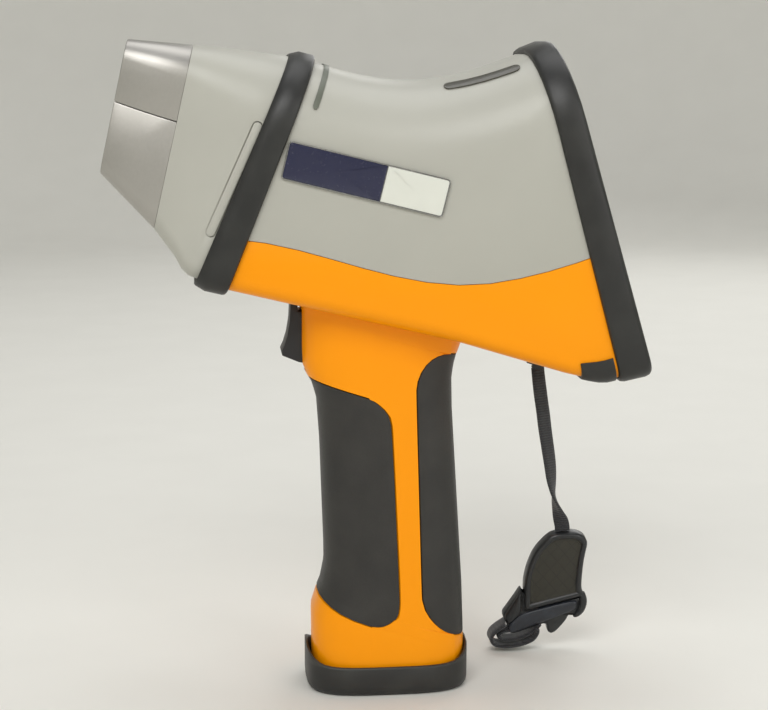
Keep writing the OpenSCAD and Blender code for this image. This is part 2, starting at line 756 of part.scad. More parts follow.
// Levels are tilted planes z = level + slope * x. Tables give x or a width against level.
grip_slope = -0.31;
belly_slope = -0.236;
foot_level = 9;
top_level = 163.2;
handle_front_line = [
    [9, -33], [24, -33.2], [28.3, -30.6], [33, -29.2], [41.8, -27.8], [48, -27.3], [56, -27.5],
    [84, -28.3], [102, -29], [119.3, -30.2], [125.4, -32], [128.9, -34.6], [133.4, -36.9],
    [140.5, -37.2], [163.2, -37]
];
handle_rear_line = [
    [9, 34.1], [28, 34.3], [39.4, 34.2], [56, 33.7], [84, 31.9], [102, 30.8], [119.3, 29.7],
    [133.4, 28.8], [146.2, 28.5], [152.2, 29.2], [157.2, 30.5], [163.2, 33.4]
];
// Share of the way from the grips' width to the ends' width
handle_swell = [[9, 1], [24, 1], [41.8, 0.35], [56, 0], [119.3, 0], [140.5, 0.5], [157.2, 1], [163.2, 1.3]];
front_grip_levels = [28.3, 128.3];
rear_grip_levels = [33.2, 157.2];
// Where each grip's edge runs on the handle's side: x at its lower and upper level
front_grip_line = [4.3, -0.1];
rear_grip_line = [14.6, 10.8];
// Round ends of those edges, lower and upper, as [how far along the levels, how far along x]
front_grip_ends = [[13.5, 12.5], [9, 9]];
rear_grip_ends = [[13, 14.2], [20, 16]];
// How far an edge has turned away from its line at a distance from the end of the grip
function edge_turn(distance, end) =
    let (short = 1 - max(0, min(1, distance / end[0])))
    end[1] * (1 - pow(1 - pow(short, 1.8), 1 / 1.8));
function grip_edge(level, span, line, ends, way) =
    mix(line[0], line[1], (level - span[0]) / (span[1] - span[0]))
        + way * max(edge_turn(level - span[0], ends[0]), edge_turn(span[1] - level, ends[1]));
handle_squareness = 3;
edge_ramp = 0.5;
handle_levels = [
    foot_level, 24, front_grip_levels[0] - edge_ramp, front_grip_levels[0], 28.6, 29.2, 30.2, 31.4,
    rear_grip_levels[0] - edge_ramp, rear_grip_levels[0], 33.6, 34.3, 35.3, 36.8, 38.8, 41.8, 46.2,
    56, 68, 84, 102, 114, 119.3, 123, 125.6, 127.2, 128, front_grip_levels[1],
    front_grip_levels[1] + edge_ramp, 133.4, 138, 142, 146.2, 150, 153, 155.2, 156.6,
    rear_grip_levels[1], rear_grip_levels[1] + edge_ramp, top_level
];
function slope_at(level) = lookup(level,
    [[foot_level, 0], [24, grip_slope], [rear_grip_levels[1] + edge_ramp, grip_slope],
        [top_level, belly_slope]]);
function half_w_at(level) = mix(handle_w, handle_end_w, lookup(level, handle_swell)) / 2;
// How much higher the levels run over the front of the handle than along its sides
front_lift = [[24, 0], [28.3, 5], [41.8, 3], [56, 0]];
function signed_pow(v, p) = sign(v) * pow(abs(v), p);
// Point of the handle's skin at an angle from the front, moved inwards by d
function skin_point(level, angle, d) =
    let (
        front = max(0, cos(angle)),
        xf = lookup(level, handle_front_line),
        xr = lookup(level, handle_rear_line),
        x = (xf + xr) / 2 - ((xr - xf) / 2 - d) * signed_pow(cos(angle), 2 / handle_squareness),
        y = -(half_w_at(level) - d) * signed_pow(sin(angle), 2 / handle_squareness)
    )
    [x, y, level + slope_at(level) * x + lookup(level, front_lift) * pow(front, 3)];
// Angle from the front at which the skin reaches x
function angle_at(level, x) =
    let (
        xf = lookup(level, handle_front_line),
        xr = lookup(level, handle_rear_line),
        c = ((xf + xr) / 2 - x) / ((xr - xf) / 2)
    )
    acos(signed_pow(max(-1, min(1, c)), handle_squareness / 2));
function front_angle(level) =
    angle_at(level, grip_edge(level, front_grip_levels, front_grip_line, front_grip_ends, -1));
function rear_angle(level) =
    angle_at(level, grip_edge(level, rear_grip_levels, rear_grip_line, rear_grip_ends, 1));
function within(level, span) = level >= span[0] && level <= span[1];
front_pts = 12;
rib_pts = 3;
rear_pts = 10;
// Angles and insets round the handle: front grip bed, far rib, rear grip bed, near rib
function handle_turns(level) =
    let (
        fa = front_angle(level),
        ra = rear_angle(level),
        df = within(level, front_grip_levels) ? grip_t + seat_gap : 0,
        dr = within(level, rear_grip_levels) ? grip_t + seat_gap : 0
    )
    concat(
        [for (i = [0:front_pts]) [mix(fa, -fa, i / front_pts), df]],
        [for (i = [0:rib_pts]) [mix(-fa - 0.5, -ra + 0.5, i / rib_pts), 0]],
        [for (i = [0:rear_pts]) [mix(-ra, ra - 360, i / rear_pts), dr]],
        [for (i = [0:rib_pts]) [mix(ra - 0.5, fa + 0.5, i / rib_pts) - 360, 0]]
    );
bay_squareness = 5;
bay_mid_x = 0.5;
bay_front = bay_mid_x - bay_l / 2;
bay_rear = bay_mid_x + bay_l / 2;
// The bay runs straight through the handle, so its rings share the turns of one level
bay_turns = handle_turns(84);
bay_levels = [top_level, rear_grip_levels[1] + edge_ramp, 24, foot_level];
function bay_ring(level) = [for (t = bay_turns)
    let (
        x = bay_mid_x - bay_l / 2 * signed_pow(cos(t[0]), 2 / bay_squareness),
        y = -bay_w / 2 * signed_pow(sin(t[0]), 2 / bay_squareness)
    )
    [x, y, level + slope_at(level) * x]];
trigger_slot = [[-50, bay_front + 1.5], [141, 168]];
pin_place = [-31.5, 163];
pin_len = 22;
slot_gap = 0.4;
catch_w = 10;
module handle_shell() {
    slot_w = trigger_w + 2 * slot_gap;
    color([1, 0.6, 0]) difference() {
        loft(concat(
            [for (level = handle_levels) [for (t = handle_turns(level)) skin_point(level, t[0], t[1])]],
            [for (level = bay_levels) bay_ring(level)]
        ), looped = true);
        translate([trigger_slot[0][0], -slot_w / 2, trigger_slot[1][0]])
            cube([trigger_slot[0][1] - trigger_slot[0][0], slot_w, trigger_slot[1][1] - trigger_slot[1][0]]);
        at_pin() cylinder(d = trigger_pin_d + 2 * pin_gap, h = pin_len + 0.4, center = true);
        catch_pocket();
    }
}
// Rubber pad lying in one of the handle's beds, between two angles that depend on level
function grip_levels(span) = [for (level = handle_levels) if (within(level, span)) level];
edge_gap = 0.6;
module front_grip() {
    color([0.17, 0.17, 0.16])
        loft([for (level = grip_levels(front_grip_levels))
            let (
                fa = front_angle(level) - edge_gap,
                turns = [for (i = [0:front_pts]) mix(fa, -fa, i / front_pts)]
            )
            concat([for (a = turns) skin_point(level, a, 0)],
                [for (a = reversed(turns)) skin_point(level, a, grip_t)])]);
}
module rear_grip() {
    color([0.17, 0.17, 0.16])
        loft([for (level = grip_levels(rear_grip_levels))
            let (
                ra = rear_angle(level) + edge_gap,
                turns = [for (i = [0:rear_pts]) mix(-ra, ra - 360, i / rear_pts)]
            )
            concat([for (a = turns) skin_point(level, a, 0)],
                [for (a = reversed(turns)) skin_point(level, a, grip_t)])]);
}

// ---------- Trigger ----------

// Side profile of the trigger as [x, z], with its hollowed finger face at the front
trigger_profile = [
    [-38.2, 171.2], [-41.2, 172.2], [-41.3, 168], [-41.6, 163], [-42.6, 157], [-44, 152.4],
    [-45.3, 149.6], [-44.9, 148.2], [-38, 145.3], [-32, 144], [-30.6, 145.4], [-30.6, 158],
    [-30, 163], [-33, 166.8], [-38.2, 167]
];
trigger_hub = 4;
module at_pin() {
    translate([pin_place[0], 0, pin_place[1]]) rotate([90, 0, 0]) children();
}
module trigger() {
    color([0.15, 0.15, 0.15]) difference() {
        union() {
            translate([0, trigger_w / 2, 0]) rotate([90, 0, 0])
                linear_extrude(trigger_w) polygon(trigger_profile);
            at_pin() cylinder(r = trigger_hub, h = trigger_w, center = true);
        }
        at_pin() cylinder(d = trigger_pin_d + 2 * pin_gap, h = trigger_w + 2, center = true);
    }
}
module trigger_pin() {
    color("silver") at_pin() cylinder(d = trigger_pin_d, h = pin_len, center = true);
}
spring_z = 150.5;
switch_x = [bay_front + 0.9, bay_front + 11.4];
switch_w = 18;
spring_x = [-30.5, switch_x[0] - 0.1];
switch_z = [147, 157.5];
plunger_x = -29.2;
plunger_d = 3;
// Helical compression spring along x, wound from a round wire
module coil_spring(x0, x1, coil_d, wire_d, turns) {
    sides = 6;
    steps = 8;
    rings = [for (k = [0:turns * steps])
        let (
            t = k / (turns * steps), a = 360 * k / steps,
            c = [mix(x0 + wire_d / 2, x1 - wire_d / 2, t), cos(a) * (coil_d - wire_d) / 2,
                sin(a) * (coil_d - wire_d) / 2]
        )
        [for (i = [0:sides - 1])
            let (b = 360 * i / sides)
            c + wire_d / 2 * [sin(b), cos(b) * cos(a), cos(b) * sin(a)]]];
    loft(rings);
}
module trigger_spring() {
    color("silver") translate([0, 0, spring_z]) coil_spring(spring_x[0], spring_x[1], 5, 0.7, 5);
}
module trigger_switch() {
    color([0.1, 0.1, 0.1]) {
        translate([switch_x[0], -switch_w / 2, switch_z[0]])
            cube([switch_x[1] - switch_x[0], switch_w, switch_z[1] - switch_z[0]]);
        translate([0, 0, (switch_z[0] + switch_z[1]) / 2 + 3])
            rod_x(plunger_d, plunger_x, switch_x[0] + 1);
    }
}

// ---------- Battery, boot and catch ----------

boot_wall = 1.3;
boot_side_wall = 1.6;
boot_floor_t = 7.6;
boot_squareness = 3.4;
boot_ear_rise = 11;
boot_sides = 40;
boot_sink = 0.2;
battery_l = bay_l - 2 * battery_gap;
battery_w = bay_w - 2 * battery_gap;
battery_r = 10;
battery_z = boot_floor_t + boot_sink;
contact_t = 0.5;
screw_d = 3;
screw_head_d = 5.6;
screw_head_t = 2.2;
screw_len = 12;
screw_gap = 0.05;
boot_screw_places = [[14, 8], [14, -8], [-14, 8], [-14, -8]];
module battery_pack() {
    color([0.12, 0.12, 0.13]) {
        difference() {
            translate([bay_mid_x, 0, battery_z])
                rounded_plate(battery_l, battery_w, battery_r, battery_r, battery_h);
            for (p = boot_screw_places)
                translate([p[0], p[1], battery_z - 1]) cylinder(d = screw_d + 2 * screw_gap, h = screw_len);
        }
    }
    color("gold") for (i = [-1.5:1.5])
        translate([bay_mid_x + i * 7 - 1.5, -4, battery_z + battery_h]) cube([3, 8, contact_t]);
}
function boot_ring(inset, z, ear) = [for (i = [0:boot_sides - 1])
    let (
        a = 360 * i / boot_sides,
        x = -(boot_l / 2 - inset[0]) * signed_pow(cos(a), 2 / boot_squareness),
        y = -(boot_w / 2 - inset[1]) * signed_pow(sin(a), 2 / boot_squareness)
    )
    [x, y, z + ear * pow(abs(x) / (boot_l / 2), boot_ear_rise)]];
module battery_boot() {
    color([0.16, 0.16, 0.15]) difference() {
        loft([
            boot_ring([2.4, 2.4], 0, 0), boot_ring([1.1, 1.1], 0.6, 0), boot_ring([0.3, 0.3], 1.9, 0),
            boot_ring([0, 0], 3.8, 0), boot_ring([0, 0], boot_rim_z - 0.8, boot_ear),
            boot_ring([0.5, 0.5], boot_rim_z, boot_ear),
            boot_ring([boot_wall, boot_side_wall], boot_rim_z, boot_ear),
            boot_ring([boot_wall, boot_side_wall], boot_floor_t, 0)
        ]);
        for (p = boot_screw_places) translate([p[0], p[1], -1]) {
            cylinder(d = screw_d + 2 * screw_gap, h = boot_floor_t + 2);
            cylinder(d = screw_head_d + 0.4, h = screw_head_t + 2);
        }
        translate([boot_l / 2 - 3, -catch_w / 2 - 0.2, catch_base_z[0] - 0.2])
            cube([6, catch_w + 0.4, catch_base_z[1] - catch_base_z[0] + 0.4]);
    }
}
module boot_screws() {
    color([0.3, 0.3, 0.3]) for (p = boot_screw_places) translate([p[0], p[1], 0.8]) {
        cylinder(d = screw_head_d, h = screw_head_t - 0.1);
        cylinder(d = screw_d, h = screw_len + battery_z - 3.2);
    }
}
contacts_t = 7;
module battery_contacts() {
    color([0.85, 0.8, 0.65])
        translate([bay_mid_x, 0, battery_z + battery_h + contact_t + 0.3])
            rounded_plate(battery_l, battery_w, battery_r, battery_r, contacts_t);
}
catch_base_z = [9.8, 13.8];
catch_travel = 1.6;
catch_stem_x = [27.8, 29.6];
catch_hook_x = 31.2;
catch_hook_z = [16, 17.6];
// Spring catch: a button in the boot with a stem whose hook lies over a ledge in the handle
module battery_catch() {
    color([0.2, 0.2, 0.2]) translate([0, -catch_w / 2, 0]) {
        translate([catch_stem_x[0], 0, catch_base_z[0]])
            cube([boot_l / 2 - catch_stem_x[0], catch_w, catch_base_z[1] - catch_base_z[0]]);
        translate([catch_stem_x[0], 0, catch_base_z[1]])
            cube([catch_stem_x[1] - catch_stem_x[0], catch_w, catch_hook_z[1] - catch_base_z[1]]);
        translate([catch_stem_x[0], 0, catch_hook_z[0]])
            cube([catch_hook_x - catch_stem_x[0], catch_w, catch_hook_z[1] - catch_hook_z[0]]);
    }
}
// Room in the handle's rear foot for the catch and its travel
module catch_pocket() {
    w = catch_w + 0.8;
    translate([0, -w / 2, 0]) {
        translate([bay_rear - 2, 0, 5]) cube([20, w, catch_base_z[1] + 0.4 - 5]);
        translate([catch_stem_x[0] - catch_travel - 0.4, 0, catch_base_z[1]])
            cube([
                catch_stem_x[1] - catch_stem_x[0] + catch_travel + 0.7, w,
                catch_hook_z[1] + 0.6 - catch_base_z[1]
            ]);
        translate([catch_stem_x[0], 0, catch_hook_z[0] - 0.3])
            cube([catch_hook_x + 0.4 - catch_stem_x[0], w, catch_hook_z[1] - catch_hook_z[0] + 0.9]);
    }
}
module catch_spring() {
    color("silver") translate([0, 0, (catch_base_z[0] + catch_base_z[1]) / 2])
        coil_spring(bay_mid_x + battery_l / 2 + 0.1, catch_stem_x[0] - 0.1, 3.2, 0.5, 4);
}

// ---------- Wrist strap ----------

anchor_x = 67.2;
anchor_bar_drop = 3.6;
anchor_bar_d = 2.4;
anchor_w = 13;
ear_w = 1.8;
ear_l = 5;
strap_w = 7;
strap_t = 1.8;
module strap_anchor() {
    slope = -atan(belly_slope) + 3;
    color([0.15, 0.15, 0.15]) translate([anchor_x, 0, belly_z(anchor_x)]) {
        rotate([0, slope, 0]) for (side = [-1, 1])
            translate([-ear_l / 2, side * (anchor_w / 2 - ear_w / 2) - ear_w / 2, -anchor_bar_drop - 1.6])
                cube([ear_l, ear_w, anchor_bar_drop + 1.4]);
        translate([0, 0, -anchor_bar_drop]) rotate([90, 0, 0])
            cylinder(d = anchor_bar_d, h = anchor_w - 2, center = true);
    }
}
// Route of the strap from its bar down to the buckle as [x, y, z, turn], with a half twist
strap_route = [
    [67.2, 0, 139.9, 30], [67.6, 0, 136, 30], [68.4, 1, 131, 30], [69.6, 3, 125, 30],
    [71, 5, 118, 30], [72.6, 8, 110, 30], [74.2, 10, 102, 32], [75.8, 12, 94, 36],
    [77, 14, 87, 44], [78, 15.6, 81.5, 60], [79, 17, 77, 80], [80, 17.9, 73, 100],
    [81.4, 18.7, 69, 125], [82.8, 19.5, 65, 155], [83.6, 20, 62, 172], [83.8, 20, 59.6, 180]
];
// Flat band swept along a route. Its width points along x at turn 0 and along y at turn 90.
module webbing(route, w, t) {
    sides = 8;
    last = len(route) - 1;
    points = [for (p = route) [p[0], p[1], p[2]]];
    rings = [for (k = [0:last])
        let (
            ahead = points[min(k + 1, last)] - points[max(k - 1, 0)],
            turned = [cos(route[k][3]), sin(route[k][3]), 0],
            sideways = turned - ahead * (turned * ahead) / (ahead * ahead),
            wide = sideways / norm(sideways),
            thin = cross(ahead, wide) / norm(ahead)
        )
        [for (i = [0:sides - 1])
            let (b = 360 * i / sides)
            points[k] + wide * cos(b) * w / 2 + thin * sin(b) * t / 2]];
    loft(rings);
}
module wrist_strap() {
    color([0.08, 0.08, 0.08]) webbing(strap_route, strap_w, strap_t);
}
buckle_top = [82, 20, 59.5];
buckle_lean = 10;
buckle_t = 6;
socket_outline = [
    [-4.4, -1.4], [0, -0.2], [7.9, -0.2], [13.7, -5.6], [12.2, -16], [12, -29], [13.4, -32],
    [10.4, -33.5], [-13.5, -39.5], [-14.6, -36], [-15.2, -25], [-14, -17.5], [-11, -9]
];
plug_outline = [
    [-15.9, -26.8], [-15.6, -36.2], [-14.3, -40.2], [10.4, -34.2], [12.9, -33], [13.6, -36.5],
    [12.2, -41], [9.6, -43.9], [8.4, -42.2], [6.8, -42.6], [5.6, -45.5], [1.2, -51.2],
    [-1.2, -52.3], [-3, -51], [-3.6, -46.2], [-20.5, -52.2], [-22, -47.2], [-24.9, -41.7],
    [-22.5, -38], [-19.4, -33.1]
];
plug_t = 5;
module at_buckle() {
    translate(buckle_top) rotate([buckle_lean, 0, 0]) children();
}
module buckle_socket() {
    rim = 1.6;
    color([0.1, 0.1, 0.1]) at_buckle() translate([0, buckle_t / 2, 0]) rotate([90, 0, 0])
        difference() {
            linear_extrude(buckle_t) polygon(socket_outline);
            translate([0, 0, buckle_t - 0.8])
                linear_extrude(2) offset(delta = -rim) polygon(socket_outline);
        }
}
module buckle_plug() {
    color([0.1, 0.1, 0.1]) at_buckle() translate([0, plug_t / 2, 0]) rotate([90, 0, 0])
        linear_extrude(plug_t) polygon(plug_outline);
}
tail_w = 12;
tail_t = 1.6;
// Fold of the strap's tail under the buckle, with its width along y
tail_route = [
    [-8, 0, -48.7, 90], [-8.2, 0, -51.5, 90], [-10.5, 0, -54.8, 90], [-16, 0, -57, 90],
    [-22, 0, -57.7, 90], [-27, 0, -57, 90], [-29.4, 0, -54.6, 90], [-29, 0, -51.4, 90],
    [-26.4, 0, -48.6, 90], [-23, 0, -46.2, 90]
];
module strap_tail() {
    color([0.08, 0.08, 0.08]) at_buckle() webbing(tail_route, tail_w, tail_t);
}

// ---------- Screws ----------

housing_screw_len = 11;
module at_legs() {
    at_bench() for (p = leg_places) translate([p[0], p[1], floor_v(p[0])]) children();
}
screw_seat = wall + 2 * seat_gap;
module housing_screws() {
    color([0.3, 0.3, 0.3]) at_legs() {
        translate([0, 0, 0.3 - screw_seat]) cylinder(d = screw_head_d, h = 1.3);
        translate([0, 0, 0.3 - screw_seat]) cylinder(d = screw_d, h = housing_screw_len);
    }
}

nose_cap_upper();
nose_cap_lower();
window_plate();
window_film();
proximity_lens();
front_housing();
front_band();
upper_housing();
lower_housing();
rear_bumper();
heel_pad();
badge_frame();
badge_dark_plate();
badge_light_plate();
light_bar_lens();
top_lamp_lens();
display_bezel();
touch_glass();
display_module();
processor_board();
keypad_board();
left_key();
right_key();
power_key();
navigation_ring();
select_key();
chassis();
x_ray_tube();
high_voltage_supply();
collimator();
filter_wheel();
filter_shaft();
filter_motor();
detector();
detector_board();
heat_sink();
speaker();
handle_shell();
front_grip();
rear_grip();
trigger();
trigger_pin();
trigger_spring();
trigger_switch();
battery_pack();
battery_boot();
battery_contacts();
battery_catch();
catch_spring();
strap_anchor();
wrist_strap();
buckle_socket();
buckle_plug();
strap_tail();
housing_screws();
boot_screws();
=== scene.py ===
import json
import math

import bmesh
import bpy
from mathutils import Matrix, Vector
from mathutils.bvhtree import BVHTree


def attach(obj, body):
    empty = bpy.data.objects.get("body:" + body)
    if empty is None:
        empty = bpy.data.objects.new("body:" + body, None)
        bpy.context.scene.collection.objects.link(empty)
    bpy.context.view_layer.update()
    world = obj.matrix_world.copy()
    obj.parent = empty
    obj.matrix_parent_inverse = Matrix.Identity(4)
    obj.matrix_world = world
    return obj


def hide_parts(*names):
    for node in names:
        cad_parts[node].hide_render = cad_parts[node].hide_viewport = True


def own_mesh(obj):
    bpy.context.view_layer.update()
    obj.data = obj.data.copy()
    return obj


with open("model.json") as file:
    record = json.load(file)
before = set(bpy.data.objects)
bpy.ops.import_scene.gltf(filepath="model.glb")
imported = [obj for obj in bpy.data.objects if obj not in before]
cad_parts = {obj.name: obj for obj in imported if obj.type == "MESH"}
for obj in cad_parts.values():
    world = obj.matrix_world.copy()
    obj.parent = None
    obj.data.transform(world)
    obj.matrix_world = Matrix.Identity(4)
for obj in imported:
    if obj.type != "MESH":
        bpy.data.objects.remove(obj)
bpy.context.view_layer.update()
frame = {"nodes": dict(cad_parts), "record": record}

# Every length below is in millimetres, except in the studio, which is in metres.
MM = 0.001

# The rear face: a point on its plane (x, z), how far it leans and how far its bezel stands out.
REAR_X, REAR_Z = 82.1, 209.93
REAR_TILT = math.radians(15.851)
BEZEL_RISE = 5

# Keys on the rear face: across and up from the point above.
LEFT_KEY, RIGHT_KEY, POWER_KEY, KEY_PAD = (-27, -45), (27, -45), (-27, -60), (0, -51)


# ---------- Camera and studio ----------

FLOOR_RADIUS = 1.7
BEND_RADIUS = 0.6
BEND_STEPS = 12
WALL_TOP = 2.4
FLOOR_SIDES = 96

LIGHT_TARGET = (0, 0, 0.16)
LIGHTS = [  # name, place, size, watts
    ("key_light", (-0.5, -1.3, 1.35), (1.1, 0.8), 15),
    ("fill_light", (0.9, -1.2, 0.7), (0.9, 0.9), 5),
    ("top_light", (0.1, 0.25, 1.7), (1.4, 1.0), 9),
    ("rear_light", (0.7, 1.3, 0.9), (0.9, 0.9), 5),
]


def add_camera():
    data = bpy.data.cameras.new("camera")
    data.sensor_width = 36
    data.lens = 82.3
    camera = bpy.data.objects.new("camera", data)
    camera.location = (-0.0789, -0.7458, 0.280)
    camera.rotation_euler = (math.radians(79.9), 0, math.radians(-6))
    bpy.context.scene.collection.objects.link(camera)
    bpy.context.scene.camera = camera


def add_floor(finish):
    """Pale round floor that bends up into a backdrop."""
    profile = [(0.0, 0.0), (FLOOR_RADIUS, 0.0)]
    for i in range(1, BEND_STEPS + 1):
        angle = math.radians(90 * i / BEND_STEPS)
        profile.append((FLOOR_RADIUS + BEND_RADIUS * math.sin(angle),
                        BEND_RADIUS * (1 - math.cos(angle))))
    profile.append((FLOOR_RADIUS + BEND_RADIUS, WALL_TOP))
    points = [(0, 0, 0)]
    for radius, height in profile[1:]:
        for k in range(FLOOR_SIDES):
            angle = 2 * math.pi * k / FLOOR_SIDES
            points.append((radius * math.cos(angle), radius * math.sin(angle), height))
    faces = [(0, 1 + k, 1 + (k + 1) % FLOOR_SIDES) for k in range(FLOOR_SIDES)]
    for ring in range(len(profile) - 2):
        for k in range(FLOOR_SIDES):
            a = 1 + ring * FLOOR_SIDES + k
            b = 1 + ring * FLOOR_SIDES + (k + 1) % FLOOR_SIDES
            faces.append((a, a + FLOOR_SIDES, b + FLOOR_SIDES, b))
    mesh = bpy.data.meshes.new("studio_floor")
    mesh.from_pydata(points, [], faces)
    mesh.materials.append(finish)
    mesh.polygons.foreach_set("use_smooth", [True] * len(mesh.polygons))
    floor = bpy.data.objects.new("studio_floor", mesh)
    bpy.context.scene.collection.objects.link(floor)


def add_light(name, place, size, watts):
    data = bpy.data.lights.new(name, "AREA")
    data.shape = "RECTANGLE"
    data.size, data.size_y = size
    data.energy = watts
    light = bpy.data.objects.new(name, data)
    light.location = place
    aim = Vector(LIGHT_TARGET) - Vector(place)
    light.rotation_euler = aim.to_track_quat("-Z", "Y").to_euler()
    bpy.context.scene.collection.objects.link(light)


def add_studio(floor_finish):
    add_floor(floor_finish)
    for light in LIGHTS:
        add_light(*light)
    world = bpy.data.worlds.new("studio_air")
    world.use_nodes = True
    air = world.node_tree.nodes["Background"].inputs
    air["Color"].default_value = (0.93, 0.95, 1, 1)
    air["Strength"].default_value = 0.3
    bpy.context.scene.world = world
    bpy.context.scene.view_settings.view_transform = "Standard"


# ---------- Shader arithmetic ----------

class Value:
    """A shader socket that takes part in sums and products."""

    def __init__(self, finish, socket):
        self.finish = finish
        self.socket = socket

    def math(self, operation, *inputs):
        return self.finish.node(
            "ShaderNodeMath", {"operation": operation}, dict(enumerate(inputs)))

    def __add__(self, other):
        return self.math("ADD", self, other)

    __radd__ = __add__

    def __sub__(self, other):
        return self.math("SUBTRACT", self, other)

    def __rsub__(self, other):
        return self.math("SUBTRACT", other, self)

    def __mul__(self, other):
        return self.math("MULTIPLY", self, other)

    __rmul__ = __mul__

    def __truediv__(self, other):
        return self.math("DIVIDE", self, other)

    def __abs__(self):
        return self.math("ABSOLUTE", self)

    def __gt__(self, other):
        return self.math("GREATER_THAN", self, other)

    def __lt__(self, other):
        return self.math("LESS_THAN", self, other)

    def most(self, other):
        return self.math("MAXIMUM", self, other)

    def sine(self):
        return self.math("SINE", self)


class Finish:
    """A node material built from plain sentences: where, how rough, which colour."""

    def __init__(self, name, colour, roughness, metallic=0.0, **constants):
        self.material = bpy.data.materials.new(name)
        self.material.use_nodes = True
        self.tree = self.material.node_tree
        self.shader = self.tree.nodes["Principled BSDF"]
        self.shader.inputs["Base Color"].default_value = (*colour, 1)
        self.shader.inputs["Roughness"].default_value = roughness
        self.shader.inputs["Metallic"].default_value = metallic
        for key, value in constants.items():
            socket = key.replace("_", " ").title().replace("Ior", "IOR")
            self.shader.inputs[socket].default_value = value

    def put(self, socket, value):
        """Links a value to a socket, or sets the socket to a number, vector or colour."""
        if isinstance(value, Value):
            self.tree.links.new(value.socket, socket)
        elif isinstance(value, tuple) and len(value) == 3 and len(socket.default_value) == 4:
            socket.default_value = (*value, 1)
        else:
            socket.default_value = value

    def node(self, kind, settings, inputs, output=0):
        """Adds a node: its settings come first, then the values or links of its sockets."""
        node = self.tree.nodes.new(kind)
        for key, value in settings.items():
            if key == "stops":
                ramp = node.color_ramp
                while len(ramp.elements) < len(value):
                    ramp.elements.new(0.5)
                for stop, (place, level) in zip(ramp.elements, value):
                    stop.position = place
                    stop.color = (level, level, level, 1)
            else:
                setattr(node, key, value)
        for key, value in inputs.items():
            self.put(node.inputs[key], value)
        return Value(self, node.outputs[output])

    def place(self):
        """Place on the piece."""
        metres = self.node("ShaderNodeTexCoord", {}, {}, "Object")
        return self.node(
            "ShaderNodeVectorMath", {"operation": "SCALE"}, {0: metres, "Scale": 1 / MM})

    def stretched(self, factors):
        """Place on the piece, stretched along each axis."""
        return self.node(
            "ShaderNodeVectorMath", {"operation": "MULTIPLY"}, {0: self.place(), 1: factors})

    def along(self, direction):
        """How far a point lies along a direction."""
        return self.node(
            "ShaderNodeVectorMath", {"operation": "DOT_PRODUCT"},
            {0: self.place(), 1: direction}, "Value")

    def noise(self, size, detail, where=None):
        """Cloudy value from 0 to 1 whose lumps are about size across."""
        return self.node(
            "ShaderNodeTexNoise", {},
            {"Vector": where or self.place(), "Scale": 1 / size, "Detail": detail})

    def cells(self, size):
        """Distance from the middles of cells about size across."""
        return self.node(
            "ShaderNodeTexVoronoi", {}, {"Vector": self.place(), "Scale": 1 / size})

    def ramp(self, value, stops):
        """Value led through stops of (where it is reached, level from 0 to 1)."""
        return self.node("ShaderNodeValToRGB", {"stops": stops}, {0: value})

    def blend(self, mask, first, second):
        """Colour that goes from first to second as the mask rises."""
        return self.node(
            "ShaderNodeMix", {"data_type": "RGBA"}, {0: mask, 6: first, 7: second}, 2)

    def relief(self, height, depth, strength):
        """Bump from a height of 0 to 1 that stands depth proud."""
        normal = self.node(
            "ShaderNodeBump", {}, {"Strength": strength, "Distance": depth * MM, "Height": height})
        self.put(self.shader.inputs["Normal"], normal)

    def paint(self, colour):
        self.put(self.shader.inputs["Base Color"], colour)

    def polish(self, roughness):
        self.put(self.shader.inputs["Roughness"], roughness)


def shade(colour, factor):
    """Colour made darker or brighter by a factor."""
    return tuple(min(1.0, channel * factor) for channel in colour)


# ---------- Finishes ----------

# How close together the brushing lines are along x, y and z.
BRUSHING = (0.35, 6.0, 0.6)

# The unlit screen's pane: half its size, and its middle above the rear face's point.
PANE_HALF_WIDTH, PANE_HALF_HEIGHT, PANE_MIDDLE = 26.5, 39, 14.5

# Where the painted highlight along the boot's top rim starts, and over what height.
BOOT_RIM_START, BOOT_RIM_HEIGHT = 10, 6


def moulded_plastic(name, colour, roughness=0.42, spread=0.05, shine=0.4):
    """Spark-textured moulding: fine grain, a slight drift of tone and handling marks."""
    f = Finish(name, colour, roughness, specular_ior_level=shine)
    drift = f.noise(38, 3)
    rub = f.ramp(f.noise(9, 4), [(0.55, 0), (0.8, 1)])
    grain = f.noise(0.45, 2)
    f.paint(f.blend(drift, shade(colour, 1 - spread), shade(colour, 1 + spread)))
    f.polish(roughness - 0.06 + 0.1 * grain + 0.07 * rub)
    f.relief(grain * 0.2 + 0.8, 0.15, 0.35)
    return f.material


def black_rubber():
    """Moulded rubber: finely pitted, greyer where it is rubbed."""
    colour = (0.014, 0.014, 0.0125)
    f = Finish("black_rubber", colour, 0.4)
    rub = f.ramp(f.noise(14, 5), [(0.45, 0), (0.75, 1)])
    pits = f.noise(0.35, 3)
    f.paint(f.blend(rub, colour, shade(colour, 1.6)))
    f.polish(0.35 + 0.12 * pits + 0.08 * rub)
    f.relief(pits, 0.05, 0.35)
    return f.material


